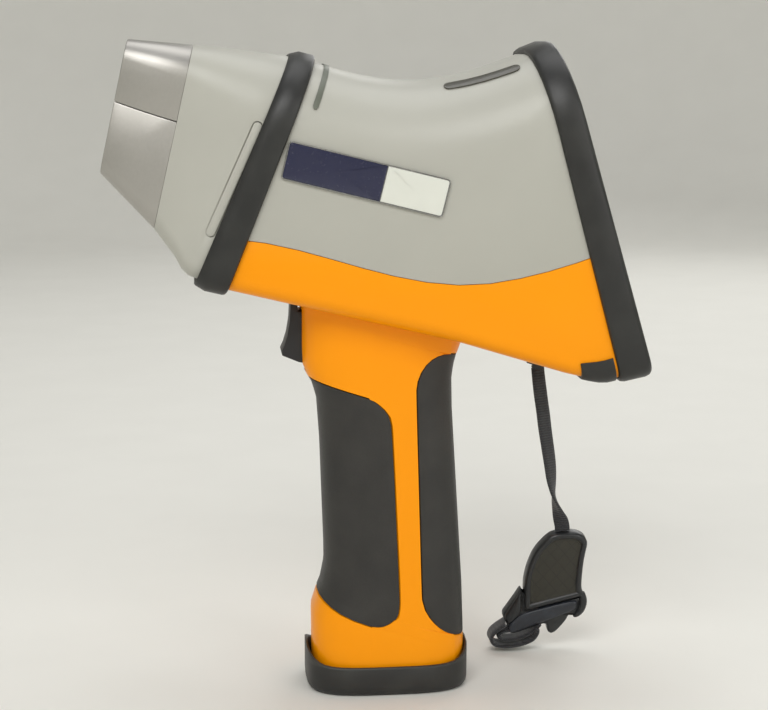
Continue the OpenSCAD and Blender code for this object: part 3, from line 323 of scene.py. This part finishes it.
def boot_rubber():
    """The boot's rubber, with a painted highlight along its top rim and paler rubbed patches."""
    colour = (0.016, 0.016, 0.015)
    f = Finish("boot_rubber", colour, 0.42)
    near_rim = (f.along((0, 0, 1)) - BOOT_RIM_START) / BOOT_RIM_HEIGHT
    rim_highlight_breakup = f.ramp(f.noise(7, 3), [(0.3, 0.35), (0.7, 1)])
    # Painted highlight: a pale line along the top rim, broken up by noise.
    rim = f.ramp(near_rim, [(0.36, 0), (0.5, 1)]) * rim_highlight_breakup
    rub = f.ramp(f.noise(14, 5), [(0.45, 0), (0.75, 1)])
    pits = f.noise(0.35, 3)
    # Paler where the rubber is rubbed, and paler along the top rim where the highlight is painted.
    f.paint(f.blend((rub * 0.3).most(rim * 0.55), colour, (0.06, 0.06, 0.052)))
    f.polish(0.38 + 0.12 * pits + 0.08 * rub)
    f.relief(pits, 0.05, 0.35)
    return f.material


def grip_rubber():
    """Softer rubber with a fine pebble grain."""
    f = Finish("grip_rubber", (0.022, 0.021, 0.019), 0.5)
    pebble = f.cells(0.9)
    rub = f.ramp(f.noise(20, 4), [(0.4, 0), (0.8, 1)])
    f.paint(f.blend(rub, (0.019, 0.018, 0.016), (0.034, 0.032, 0.028)))
    f.polish(0.44 + 0.1 * pebble + 0.08 * rub)
    f.relief(pebble, 0.06, 0.3)
    return f.material


def brushed_metal(name, colour, roughness):
    """Metal with fine straight brushing lines."""
    f = Finish(name, colour, roughness, 0.9)
    lines = f.noise(1.0, 4, f.stretched(BRUSHING))
    drift = f.noise(24, 2)
    f.paint(f.blend(lines * 0.6 + drift * 0.4, shade(colour, 0.88), shade(colour, 1.08)))
    f.polish(roughness - 0.07 + 0.16 * lines)
    f.relief(lines, 0.02, 0.35)
    return f.material


def studio_paper():
    """Matt warm white of the floor and backdrop."""
    f = Finish("studio_paper", (0.8, 0.79, 0.74), 0.85)
    f.paint(f.blend(f.noise(60, 2), (0.78, 0.77, 0.72), (0.82, 0.81, 0.76)))
    return f.material


def glossy(name, colour, roughness, coat=0.4):
    """Clear-coated insert, lens or printed film with faint dust."""
    f = Finish(name, colour, roughness, coat_weight=coat, coat_roughness=0.06)
    dust = f.ramp(f.noise(1.2, 5), [(0.58, 0), (0.72, 1)])
    f.paint(f.blend(f.noise(12, 2), shade(colour, 0.94), shade(colour, 1.06)))
    f.polish(roughness + 0.16 * dust)
    return f.material


def display_glass():
    """Black touch glass with the faint pane of the unlit screen behind it."""
    f = Finish("display_glass", (0.005, 0.006, 0.007), 0.08, coat_weight=1.0, coat_roughness=0.04)
    cos, sin = math.cos(REAR_TILT), math.sin(REAR_TILT)
    up = f.along((-sin, 0, cos)) - (REAR_Z * cos - REAR_X * sin + PANE_MIDDLE)
    across = f.along((0, 1, 0))
    pane = (abs(across) < PANE_HALF_WIDTH) * (abs(up) < PANE_HALF_HEIGHT)
    dust = f.ramp(f.noise(1.1, 5), [(0.6, 0), (0.74, 1)])
    smear = f.ramp(f.noise(26, 4), [(0.45, 0), (0.75, 1)])
    f.paint(f.blend(pane, (0.004, 0.0045, 0.005), (0.011, 0.013, 0.016)))
    f.polish(0.05 + 0.14 * dust + 0.1 * smear)
    return f.material


def circuit_board():
    """Green board with paler tracks."""
    f = Finish("circuit_board", (0.02, 0.16, 0.06), 0.35)
    f.paint(f.blend(f.cells(2.2) > 0.42, (0.02, 0.16, 0.06), (0.05, 0.26, 0.1)))
    f.polish(0.3 + 0.2 * f.noise(3, 3))
    return f.material


def woven_webbing():
    """Narrow black webbing with a close herringbone weave."""
    f = Finish("woven_webbing", (0.012, 0.012, 0.014), 0.75, sheen_weight=0.25)
    across = f.along((6.0, 6.0, 0.0))
    up = f.along((0.0, 0.0, 5.2))
    ribs = (up + across.sine() * 0.8).sine() * 0.5 + 0.5
    f.paint(f.blend(ribs, (0.005, 0.005, 0.006), (0.026, 0.027, 0.032)))
    f.polish(0.65 + 0.2 * ribs)
    f.relief(ribs, 0.22, 0.8)
    return f.material


def clasp_plastic(name, colour):
    """Injection-moulded clasp: semi-gloss with scuffed patches."""
    f = Finish(name, colour, 0.32)
    scuff = f.ramp(f.noise(5, 5), [(0.5, 0), (0.72, 1)])
    grain = f.noise(0.3, 2)
    f.paint(f.blend(scuff, colour, shade(colour, 1.5)))
    f.polish(0.26 + 0.08 * grain + 0.2 * scuff)
    f.relief(grain, 0.02, 0.3)
    return f.material


def clasp_panel():
    """Sunken olive-black face of the clasp with a faint lattice of moulded ribs."""
    f = Finish("clasp_panel", (0.03, 0.028, 0.018), 0.5)
    rising = f.along((0.5, 0.0, 0.42)).sine()
    falling = f.along((0.5, 0.0, -0.42)).sine()
    ribs = f.ramp((1 - abs(rising)).most(1 - abs(falling)), [(0.86, 0), (0.97, 1)])
    f.paint(f.blend(ribs, (0.024, 0.022, 0.014), (0.012, 0.011, 0.008)))
    f.polish(0.42 + 0.14 * f.noise(0.5, 3) + 0.05 * ribs)
    f.relief(1 - ribs, 0.15, 0.5)
    return f.material


FINISHES = {
    "grey_moulding": moulded_plastic("grey_moulding", (0.445, 0.44, 0.39), 0.36),
    "orange_moulding": moulded_plastic("orange_moulding", (1.0, 0.33, 0.0), 0.36, 0.03, 0.2),
    "black_moulding": moulded_plastic("black_moulding", (0.02, 0.02, 0.021), 0.45, 0.1),
    "cream_moulding": moulded_plastic("cream_moulding", (0.6, 0.53, 0.36)),
    "potted_block": moulded_plastic("potted_block", (0.05, 0.05, 0.06), 0.5, 0.1),
    "grey_key": moulded_plastic("grey_key", (0.11, 0.115, 0.12), 0.5, 0.08),
    "red_key": moulded_plastic("red_key", (0.4, 0.02, 0.015), 0.45, 0.08),
    "key_mark": moulded_plastic("key_mark", (0.6, 0.62, 0.62), 0.5, 0.04),
    "black_rubber": black_rubber(),
    "boot_rubber": boot_rubber(),
    "grip_rubber": grip_rubber(),
    "nose_metal": brushed_metal("nose_metal", (0.43, 0.415, 0.385), 0.4),
    "steel": brushed_metal("steel", (0.6, 0.6, 0.59), 0.3),
    "black_steel": brushed_metal("black_steel", (0.06, 0.06, 0.06), 0.35),
    "bare_aluminium": brushed_metal("bare_aluminium", (0.62, 0.63, 0.65), 0.38),
    "brass": brushed_metal("brass", (0.62, 0.42, 0.16), 0.3),
    "badge_metal": brushed_metal("badge_metal", (0.3, 0.3, 0.29), 0.25),
    "display_panel": brushed_metal("display_panel", (0.4, 0.41, 0.42), 0.4),
    "navy_label": glossy("navy_label", (0.013, 0.015, 0.05), 0.2),
    "white_label": glossy("white_label", (0.72, 0.73, 0.66), 0.35, 0.2),
    "smoked_lens": glossy("smoked_lens", (0.12, 0.13, 0.1), 0.42, 0.1),
    "dark_lamp": glossy("dark_lamp", (0.045, 0.042, 0.026), 0.3, 0.3),
    "dark_lens": glossy("dark_lens", (0.03, 0.004, 0.004), 0.08),
    "amber_film": glossy("amber_film", (0.45, 0.22, 0.04), 0.15),
    "display_glass": display_glass(),
    "circuit_board": circuit_board(),
    "webbing": woven_webbing(),
    "clasp_plastic": clasp_plastic("clasp_plastic", (0.014, 0.015, 0.016)),
    "clasp_bar_plastic": clasp_plastic("clasp_bar_plastic", (0.02, 0.023, 0.03)),
    "clasp_panel": clasp_panel(),
}


# ---------- Carried-over CAD nodes ----------

SHARP_ANGLE = math.radians(34)
FLAT_ANGLE = math.radians(0.6)
WELD_GAP = 0.001

# How wide the rounding of a node's sharp edges is. Other nodes keep their edges.
EDGE_WIDTHS = {
    "nose_cap_upper": 0.5, "nose_cap_lower": 0.5, "front_housing": 0.4, "upper_housing": 0.3,
    "lower_housing": 0.3, "front_band": 0.3, "rear_bumper": 0.4, "heel_pad": 0.5,
    "front_grip": 0.5, "rear_grip": 0.6, "trigger": 0.8, "battery_boot": 0.25,
    "display_bezel": 0.5, "touch_glass": 0.2, "strap_anchor": 0.3, "left_key": 0.2,
    "right_key": 0.2, "power_key": 0.2, "navigation_ring": 0.2, "select_key": 0.2,
    "battery_catch": 0.3, "window_plate": 0.2, "trigger_switch": 0.3, "battery_pack": 0.8,
    "light_bar_lens": 0.1, "top_lamp_lens": 0.1,
}

# Nodes whose finish isn't the one of their material slot.
OTHER_FINISH = {
    "rear_grip": "grip_rubber", "battery_boot": "boot_rubber", "top_lamp_lens": "dark_lamp",
}


def smooth_by_angle():
    """Node group that shades a mesh smooth except across sharp edges."""
    group = bpy.data.node_groups.new("smooth_by_angle", "GeometryNodeTree")
    group.interface.new_socket("Geometry", in_out="INPUT", socket_type="NodeSocketGeometry")
    group.interface.new_socket("Geometry", in_out="OUTPUT", socket_type="NodeSocketGeometry")
    nodes, links = group.nodes, group.links
    source = nodes.new("NodeGroupInput")
    faces = nodes.new("GeometryNodeSetShadeSmooth")
    edges = nodes.new("GeometryNodeSetShadeSmooth")
    edges.domain = "EDGE"
    edges.inputs["Shade Smooth"].default_value = False
    angle = nodes.new("GeometryNodeInputMeshEdgeAngle")
    sharp = nodes.new("FunctionNodeCompare")
    sharp.operation = "GREATER_THAN"
    sharp.inputs[1].default_value = SHARP_ANGLE
    sink = nodes.new("NodeGroupOutput")
    links.new(source.outputs[0], faces.inputs[0])
    links.new(faces.outputs[0], edges.inputs[0])
    links.new(angle.outputs["Unsigned Angle"], sharp.inputs[0])
    links.new(sharp.outputs[0], edges.inputs["Selection"])
    links.new(edges.outputs[0], sink.inputs[0])
    return group


SMOOTH = smooth_by_angle()


def smooth(piece):
    piece.modifiers.new("smooth", "NODES").node_group = SMOOTH


def round_edges(piece, width):
    """Rounds a piece's sharp edges by width and shades the rest smooth."""
    weld = piece.modifiers.new("weld", "WELD")
    weld.merge_threshold = WELD_GAP * MM
    if width:
        flatten = piece.modifiers.new("flatten", "DECIMATE")
        flatten.decimate_type = "DISSOLVE"
        flatten.angle_limit = FLAT_ANGLE
        bevel = piece.modifiers.new("edges", "BEVEL")
        bevel.width = width * MM
        bevel.segments = 2
        bevel.limit_method = "ANGLE"
        bevel.angle_limit = SHARP_ANGLE
    smooth(piece)


def dress_cad_nodes():
    slots = {s["node"]: s["material_slot"] for s in frame["record"]["subparts"]}
    for name, piece in frame["nodes"].items():
        finish = FINISHES[OTHER_FINISH.get(name, slots[name])]
        piece.data.materials.clear()
        piece.data.materials.append(finish)
        round_edges(piece, EDGE_WIDTHS.get(name, 0.0))


def add_copy(node, name, finish):
    """A CAD node's mesh as a piece of its own, to be changed and shown in its place."""
    piece = bpy.data.objects.new(name, frame["nodes"][node].data.copy())
    bpy.context.scene.collection.objects.link(piece)
    piece.data.materials.clear()
    piece.data.materials.append(FINISHES[finish])
    return piece


# ---------- Meshes from outlines and routes ----------

def spline(points, steps):
    """Smooth line through points of any dimension, with steps parts between each two."""
    found = []
    last = len(points) - 1
    for k in range(last):
        p0, p1 = points[max(k - 1, 0)], points[k]
        p2, p3 = points[k + 1], points[min(k + 2, last)]
        for i in range(steps):
            t = i / steps
            found.append(tuple(
                0.5 * (2 * b + (c - a) * t + (2 * a - 5 * b + 4 * c - d) * t * t
                       + (3 * b - a - 3 * c + d) * t ** 3)
                for a, b, c, d in zip(p0, p1, p2, p3)))
    found.append(tuple(points[last]))
    return found


def heading(route, k):
    """Direction of a route at one of its points."""
    before, after = route[max(k - 1, 0)], route[min(k + 1, len(route) - 1)]
    return (Vector(after[:3]) - Vector(before[:3])).normalized()


def ring_faces(rings, count):
    """Quads of a tube of closed rings with count points each."""
    faces = []
    for ring in range(rings - 1):
        for i in range(count):
            a, b = ring * count + i, ring * count + (i + 1) % count
            faces.append((a, b, b + count, a + count))
    return faces


def add_mesh(name, points, faces, finish, body="housing"):
    mesh = bpy.data.meshes.new(name)
    mesh.from_pydata([tuple(c * MM for c in p) for p in points], [], faces)
    mesh.materials.append(FINISHES[finish])
    piece = bpy.data.objects.new(name, mesh)
    bpy.context.scene.collection.objects.link(piece)
    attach(piece, body)
    return piece


def face_outwards(piece):
    """Turns all faces of a closed mesh outwards."""
    mesh = bmesh.new()
    mesh.from_mesh(piece.data)
    bmesh.ops.recalc_face_normals(mesh, faces=mesh.faces)
    mesh.to_mesh(piece.data)
    mesh.free()


def band_section(width, thickness):
    """Flat section with rounded edges, as (across, through) pairs."""
    half, thin = width / 2, thickness / 2
    section = []
    for side in (1, -1):
        for angle in (-90, -30, 30, 90):
            turn = math.radians(angle)
            section.append((side * (half - thin + thin * math.cos(turn)),
                            side * thin * math.sin(turn)))
        for share in (0.5, 0, -0.5):
            section.append((side * (half - thin) * share, side * thin))
    return section


def add_band(name, route, width, thickness):
    """Webbing swept along a route of (x, y, z, turn of its width in degrees)."""
    section = band_section(width, thickness)
    points = []
    for k, (x, y, z, turn) in enumerate(route):
        ahead = heading(route, k)
        wide = Vector((math.cos(math.radians(turn)), math.sin(math.radians(turn)), 0))
        wide = (wide - ahead * wide.dot(ahead)).normalized()
        thin = ahead.cross(wide)
        points += [Vector((x, y, z)) + wide * a + thin * b for a, b in section]
    count = len(section)
    faces = ring_faces(len(route), count)
    faces.append(tuple(range(count))[::-1])
    faces.append(tuple(range(len(points) - count, len(points))))
    piece = add_mesh(name, points, faces, "webbing")
    smooth(piece)
    return piece


def add_rail(name, path, radii, finish):
    """Round rail through points of (x, y, z) with a radius at each."""
    sides = 12
    route = spline([(*p, r) for p, r in zip(path, radii)], 5)
    points = []
    for k, (x, y, z, radius) in enumerate(route):
        ahead = heading(route, k)
        side = ahead.cross(Vector((0, 1, 0))).normalized()
        up = ahead.cross(side)
        for i in range(sides):
            angle = 2 * math.pi * i / sides
            points.append(Vector((x, y, z)) + side * radius * math.cos(angle)
                          + up * radius * math.sin(angle))
    faces = ring_faces(len(route), sides)
    faces.append(tuple(range(sides)))
    faces.append(tuple(range(len(points) - sides, len(points))))
    piece = add_mesh(name, points, faces, finish)
    face_outwards(piece)
    smooth(piece)
    return piece


def softened(outline):
    """Closed outline with its corners cut twice, which makes curves of them."""
    near, far = 0.78, 0.22
    for _ in range(2):
        cut = []
        for a, b in zip(outline, outline[1:] + outline[:1]):
            cut.append((a[0] * near + b[0] * far, a[1] * near + b[1] * far))
            cut.append((a[0] * far + b[0] * near, a[1] * far + b[1] * near))
        outline = cut
    return outline


def inset(outline, distance):
    """Outline moved inwards along its own normals."""
    area = sum(a[0] * b[1] - b[0] * a[1] for a, b in zip(outline, outline[1:] + outline[:1]))
    turn = 1 if area > 0 else -1
    count = len(outline)
    moved = []
    for i, (x, z) in enumerate(outline):
        before, after = outline[i - 1], outline[(i + 1) % count]
        along = Vector((after[0] - before[0], after[1] - before[1])).normalized()
        moved.append((x - along.y * distance * turn, z + along.x * distance * turn))
    return moved


def add_moulding(name, outline, profile, place, finish, crown=0.0, panel=None, panel_from=0):
    """Flat moulding whose edge follows a profile of (inset, depth) from back to front.

    The front bulges by crown. A panel is a second finish, from one ring of the profile on.
    """
    count, last = len(outline), len(profile) - 1
    points = [place(x, depth, z)
              for distance, depth in profile for x, z in inset(outline, distance)]
    faces = ring_faces(len(profile), count)
    slots = [int(panel is not None and i // count >= panel_from) for i in range(len(faces))]
    middle_x = sum(p[0] for p in outline) / count
    middle_z = sum(p[1] for p in outline) / count
    for ring, lift, slot in ((0, 0.0, 0), (last, crown, int(panel is not None))):
        hub = len(points)
        points.append(place(middle_x, profile[ring][1] - lift, middle_z))
        for i in range(count):
            pair = (ring * count + i, ring * count + (i + 1) % count)
            faces.append((*pair, hub) if ring else (*pair[::-1], hub))
            slots.append(slot)
    piece = add_mesh(name, points, faces, finish)
    if panel:
        piece.data.materials.append(FINISHES[panel])
    piece.data.polygons.foreach_set("material_index", slots)
    face_outwards(piece)
    smooth(piece)
    return piece


# ---------- Clasp of the wrist strap ----------

CLASP_TOP = (82, 20, 59.5)
CLASP_LEAN = math.radians(10)

# Outlines are (x, z) and profiles are (inset, depth), both from the clasp's top.
SHIELD_OUTLINE = [
    (-4.4, -1.4), (0, -0.2), (7.9, -0.2), (12, -2.2), (13.7, -5.6), (12.8, -11), (12.2, -16),
    (11.9, -24), (12, -29), (13.3, -31.6), (12.6, -32.9), (10.4, -33.5), (2, -35.5),
    (-6, -37.6), (-13.2, -39.4), (-14.4, -38.4), (-14.8, -33), (-15.2, -25), (-14, -17.5),
    (-11, -9),
]
SHIELD_PROFILE = [
    (0.9, 3), (0.2, 2.7), (0, 2), (0, -1.7), (0.3, -2.5), (1, -3.1), (1.8, -3.2),
    (2.5, -2.9), (2.9, -2.3), (3.4, -2.1), (5, -2.2),
]
SHIELD_PANEL_FROM = 8
PRONG_OUTLINE = [
    (-15.9, -27), (-15.6, -36.2), (-14.3, -40.2), (0, -36.6), (10.4, -34.2), (12.9, -33),
    (13.6, -36.5), (12.2, -41), (9.6, -43.9), (8.4, -42.2), (6.8, -42.6), (5.6, -45.5),
    (1.2, -51.2), (-1.2, -52.3), (-3, -51), (-3.6, -46.2), (-12, -49.2), (-20.5, -52.2),
    (-22, -47.2), (-24.9, -41.7), (-22.5, -38), (-19.4, -33.1),
]
PRONG_PROFILE = [(0.8, 2.5), (0.1, 2.1), (0, 1.5), (0, -1.2), (0.2, -1.8), (0.8, -2.2)]
BAR_OUTLINE = [
    (-14.9, -40.6), (-2, -37.2), (9.9, -34.5), (10.3, -37), (9.4, -39.6), (-1, -43.8),
    (-11, -47.4), (-20, -51.2), (-21.3, -50), (-21.6, -46.5), (-18.4, -43),
]
BAR_PROFILE = [(0.1, 0), (0, -2.2), (0.2, -2.9), (0.8, -3.4), (1.6, -3.5)]
BLOCK_OUTLINE = [
    (-16.4, -28.2), (-16.1, -36), (-15.9, -40.6), (-19, -43.8), (-22, -46.6), (-24, -41.8),
    (-22, -38.4), (-19.2, -33.6),
]
BLOCK_PROFILE = [(0.1, 0), (0, -2.4), (0.3, -3.1), (1, -3.6)]
LUG_PATH = [
    (12.2, -1.4, -31.4), (13, -1.9, -34.2), (13, -2.1, -37), (12.2, -1.9, -40.2),
    (10.4, -1.5, -42.6), (9.3, -1, -43.4),
]
LUG_RADII = [1.5, 1.8, 1.9, 1.7, 1.4, 0.9]
FOLD_LOOPS = [
    [(-8, -48.7), (-8.2, -51.5), (-10.5, -54.8), (-16, -57), (-22, -57.7), (-27, -57),
     (-29.4, -54.6), (-29, -51.4), (-26.4, -48.6), (-23, -46.2)],
    [(-6.4, -47), (-9.5, -50.6), (-14, -53.4), (-19.5, -54.9), (-24, -54.6), (-26, -52.8),
     (-24.6, -50.8), (-21, -50.2), (-17, -49.4)],
]
FOLD_WIDTHS = [10.4, 8.8]
FOLD_SETBACK = 0.8
WEBBING_THICKNESS = 1.6


def clasp_place(x, y, z):
    """Point of the hanging clasp, from its own tilted frame."""
    cos, sin = math.cos(CLASP_LEAN), math.sin(CLASP_LEAN)
    return (CLASP_TOP[0] + x,
            CLASP_TOP[1] + y * cos - z * sin,
            CLASP_TOP[2] + y * sin + z * cos)


def add_clasp():
    """Side-release clasp and the folded end of the strap."""
    shield = add_moulding(
        "clasp_shield", softened(SHIELD_OUTLINE), SHIELD_PROFILE, clasp_place,
        "clasp_plastic", crown=0.5, panel="clasp_panel", panel_from=SHIELD_PANEL_FROM)
    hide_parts("buckle_socket")
    prongs = add_moulding(
        "clasp_prongs", softened(PRONG_OUTLINE), PRONG_PROFILE, clasp_place, "clasp_plastic")
    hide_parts("buckle_plug")
    bar = add_moulding(
        "clasp_bar", softened(BAR_OUTLINE), BAR_PROFILE, clasp_place,
        "clasp_bar_plastic", crown=0.1)
    block = add_moulding(
        "clasp_side_block", softened(BLOCK_OUTLINE), BLOCK_PROFILE, clasp_place,
        "clasp_plastic", crown=0.5)
    lug = add_rail("clasp_lug", [clasp_place(*p) for p in LUG_PATH], LUG_RADII, "clasp_plastic")
    folds = []
    for k, loop in enumerate(FOLD_LOOPS):
        route = [(*clasp_place(x, k * FOLD_SETBACK, z), 90) for x, z in spline(loop, 4)]
        folds.append(
            add_band(f"strap_fold_{k + 1}", route, FOLD_WIDTHS[k], WEBBING_THICKNESS))
    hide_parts("strap_tail")
    return [shield, prongs, bar, block, lug, *folds]


# ---------- Wrist strap ----------

STRAP_WIDTH = 7.0
STRAP_ROUTE = [
    (67.2, 0, 139.9, 30), (67.6, 0, 136, 30), (68.4, 1, 131, 30), (69.6, 3, 125, 30),
    (71, 5, 118, 30), (72.6, 8, 110, 30), (74.2, 10, 102, 32), (75.8, 12, 94, 36),
    (77, 14, 87, 44), (78, 15.6, 81.5, 60), (79, 17, 77, 80), (80, 17.9, 73, 100),
    (81.4, 18.7, 69, 125), (82.8, 19.5, 65, 155), (83.6, 20, 62, 172), (83.8, 20, 59.6, 180),
]


def add_strap():
    """The strap hangs from its bar with a half twist and ends in the clasp."""
    route = spline(STRAP_ROUTE, 5)
    strap = add_band("wrist_strap_webbing", route, STRAP_WIDTH, WEBBING_THICKNESS)
    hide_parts("wrist_strap")
    path = [tuple(c * MM for c in p[:3]) for p in route]
    length = sum((Vector(a) - Vector(b)).length for a, b in zip(path, path[1:]))
    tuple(path[0])
    add_clasp()


# ---------- Badge ----------

BADGE_PLACE = (
    Matrix.Translation((-11.6, -36.77, 225.4)) @ Matrix.Rotation(math.radians(-3.96), 4, "Z")
    @ Matrix.Rotation(math.radians(13.8), 4, "Y"))
BADGE_RIM_PROFILE = [
    (0.1, 0.1), (0, -0.1), (0, -0.7), (0.12, -0.9), (0.35, -0.95), (0.5, -0.85), (0.6, -0.5),
]
BADGE_FACE_PROFILE = [
    (0.1, -0.3), (0, -0.4), (0, -0.72), (0.12, -0.86), (0.4, -0.93), (1.1, -0.97),
]
BADGE_CROWN = 0.03


def badge_place(x, depth, z):
    """Point of the badge, from the middle of its own tilted face."""
    return tuple(BADGE_PLACE @ Vector((x, depth, z)))


def rounded_rectangle(x0, x1, half_height, left, right):
    """Outline with one corner radius at its left end and one at its right end."""
    steps = 5
    outline = []
    for x, z, radius, start in (
            (x1, half_height, right, 0), (x0, half_height, left, 90),
            (x0, -half_height, left, 180), (x1, -half_height, right, 270)):
        middle_x = x - radius if x == x1 else x + radius
        middle_z = z - math.copysign(radius, z)
        for i in range(steps + 1):
            angle = math.radians(start + 90 * i / steps)
            outline.append((middle_x + radius * math.cos(angle),
                            middle_z + radius * math.sin(angle)))
    return outline


def add_badge():
    """Two-colour enamelled badge in a thin metal frame, bare of any mark."""
    frame_plate = add_moulding(
        "badge_rim", rounded_rectangle(-33.75, 33.75, 7.9, 1.5, 1.5),
        BADGE_RIM_PROFILE, badge_place, "badge_metal")
    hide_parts("badge_frame")
    navy = add_moulding(
        "badge_navy_face", rounded_rectangle(-33.2, 7.3, 7.35, 1.1, 0.1),
        BADGE_FACE_PROFILE, badge_place, "navy_label", crown=BADGE_CROWN)
    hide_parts("badge_dark_plate")
    white = add_moulding(
        "badge_white_face", rounded_rectangle(7.6, 33.2, 7.35, 0.1, 1.1),
        BADGE_FACE_PROFILE, badge_place, "white_label", crown=BADGE_CROWN)
    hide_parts("badge_light_plate")


# ---------- Key marks ----------

REAR_PLACE = (
    Matrix.Translation((REAR_X + BEZEL_RISE * math.cos(REAR_TILT), 0,
                        REAR_Z + BEZEL_RISE * math.sin(REAR_TILT)))
    @ Matrix.Rotation(-REAR_TILT, 4, "Y"))
MARK_LIFT = 0.05
ARROW = [(8.9, 0), (7.3, 1.5), (7.3, -1.5)]


def rear_place(x, height, z):
    """Point of the tilted rear face, x across and z up, at a height above the bezel."""
    return tuple(REAR_PLACE @ Vector((height, x, z)))


def key_top(radius):
    """Height of a round key's dished top at a radius."""
    return 0.6 + 0.3 * radius / 4.5


def ring_top(radius):
    """Height of the navigation ring's dished top at a radius."""
    return 0.5 + 0.4 * (radius - 4.6) / 5.6


def select_top(radius):
    """Height of the select key's dished top at a radius."""
    return 0.5 + 0.2 * radius / 4.1


def bar_mark(x0, x1, z0, z1):
    """Upright rectangle."""
    return [(x0, z0), (x1, z0), (x1, z1), (x0, z1)]


def arc_mark(radius, width, start, end):
    """Quads of a ring segment between two angles in degrees."""
    steps = 18
    inner, outer = radius - width / 2, radius + width / 2
    quads = []
    for i in range(steps):
        a0 = math.radians(start + (end - start) * i / steps)
        a1 = math.radians(start + (end - start) * (i + 1) / steps)
        quads.append([(r * math.cos(a), r * math.sin(a))
                      for r, a in ((inner, a0), (outer, a0), (outer, a1), (inner, a1))])
    return quads


def add_key_mark(name, middle, body, shapes, top):
    """Printed symbol that lies on a key's top."""
    points, faces = [], []
    for shape in shapes:
        faces.append(tuple(range(len(points), len(points) + len(shape))))
        for x, z in shape:
            height = top(math.hypot(x, z)) + MARK_LIFT
            points.append(rear_place(middle[0] + x, height, middle[1] + z))
    add_mesh(name, points, faces, "key_mark", body)


def add_key_marks():
    lines = [bar_mark(-2, 2, z - 0.25, z + 0.25) for z in (-1.4, 0, 1.4)]
    add_key_mark("menu_mark", LEFT_KEY, "left_key", lines, key_top)
    back = [[(-2.2, 0), (0.1, -1.7), (0.1, 1.7)], bar_mark(0.1, 2.2, -0.3, 0.3)]
    add_key_mark("back_mark", RIGHT_KEY, "right_key", back, key_top)
    power = arc_mark(1.9, 0.5, 120, 420) + [bar_mark(-0.25, 0.25, 0.4, 2.6)]
    add_key_mark("power_mark", POWER_KEY, "power_key", power, key_top)
    arrows = [[(x * cos - z * sin, x * sin + z * cos) for x, z in ARROW]
              for cos, sin in ((1, 0), (0, 1), (-1, 0), (0, -1))]
    add_key_mark("direction_marks", KEY_PAD, "navigation_ring", arrows, ring_top)
    add_key_mark("select_mark", KEY_PAD, "select_key", arc_mark(1.5, 0.4, 0, 360), select_top)


# ---------- Front grip ----------

GRIP_REAR_FROM = -8.2    # x where the grip's rear edge starts
GRIP_SIDE_FROM = 8       # distance from the middle plane to its side faces
GRIP_PROBE_DEPTH = 0.9   # below the surface, where the bed's wall is felt for
GRIP_REACH = 3.4
GRIP_GAP = 0.25


def add_front_grip():
    """Front grip whose rubber reaches the wall of its bed, in place of the plain solid."""
    shell = frame["nodes"]["handle_shell"].data
    bed = BVHTree.FromPolygons(
        [v.co.copy() for v in shell.vertices], [tuple(p.vertices) for p in shell.polygons])
    piece = add_copy("front_grip", "front_grip_rubber", "grip_rubber")
    rims = {}
    for vertex in piece.data.vertices:
        x, y, z = vertex.co / MM
        if x > GRIP_REAR_FROM and abs(y) > GRIP_SIDE_FROM:
            rims.setdefault((round(z, 1), y > 0), []).append(vertex)
    for rim in rims.values():
        outer = max(rim, key=lambda v: abs(v.co.y)).co
        inwards = math.copysign(GRIP_PROBE_DEPTH * MM, outer.y)
        start = Vector((outer.x, outer.y - inwards, outer.z))
        reach = bed.ray_cast(start, Vector((1, 0, 0)), GRIP_REACH * MM)[3]
        if reach and reach > GRIP_GAP * MM:
            for vertex in rim:
                vertex.co.x += reach - GRIP_GAP * MM
    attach(piece, "housing")
    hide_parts("front_grip")
    round_edges(piece, EDGE_WIDTHS["front_grip"])


# ---------- Springs ----------

def add_spring(node, body):
    """Copy of the spring's solid on a mesh of its own, shown in place of the CAD node."""
    piece = add_copy(node, node + "_coil", "steel")
    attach(piece, body)
    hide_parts(node)
    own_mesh(piece)


# ---------- Build ----------

add_camera()
add_studio(studio_paper())
dress_cad_nodes()
add_strap()
add_badge()
add_key_marks()
add_front_grip()
add_spring("trigger_spring", "housing")
add_spring("catch_spring", "battery")
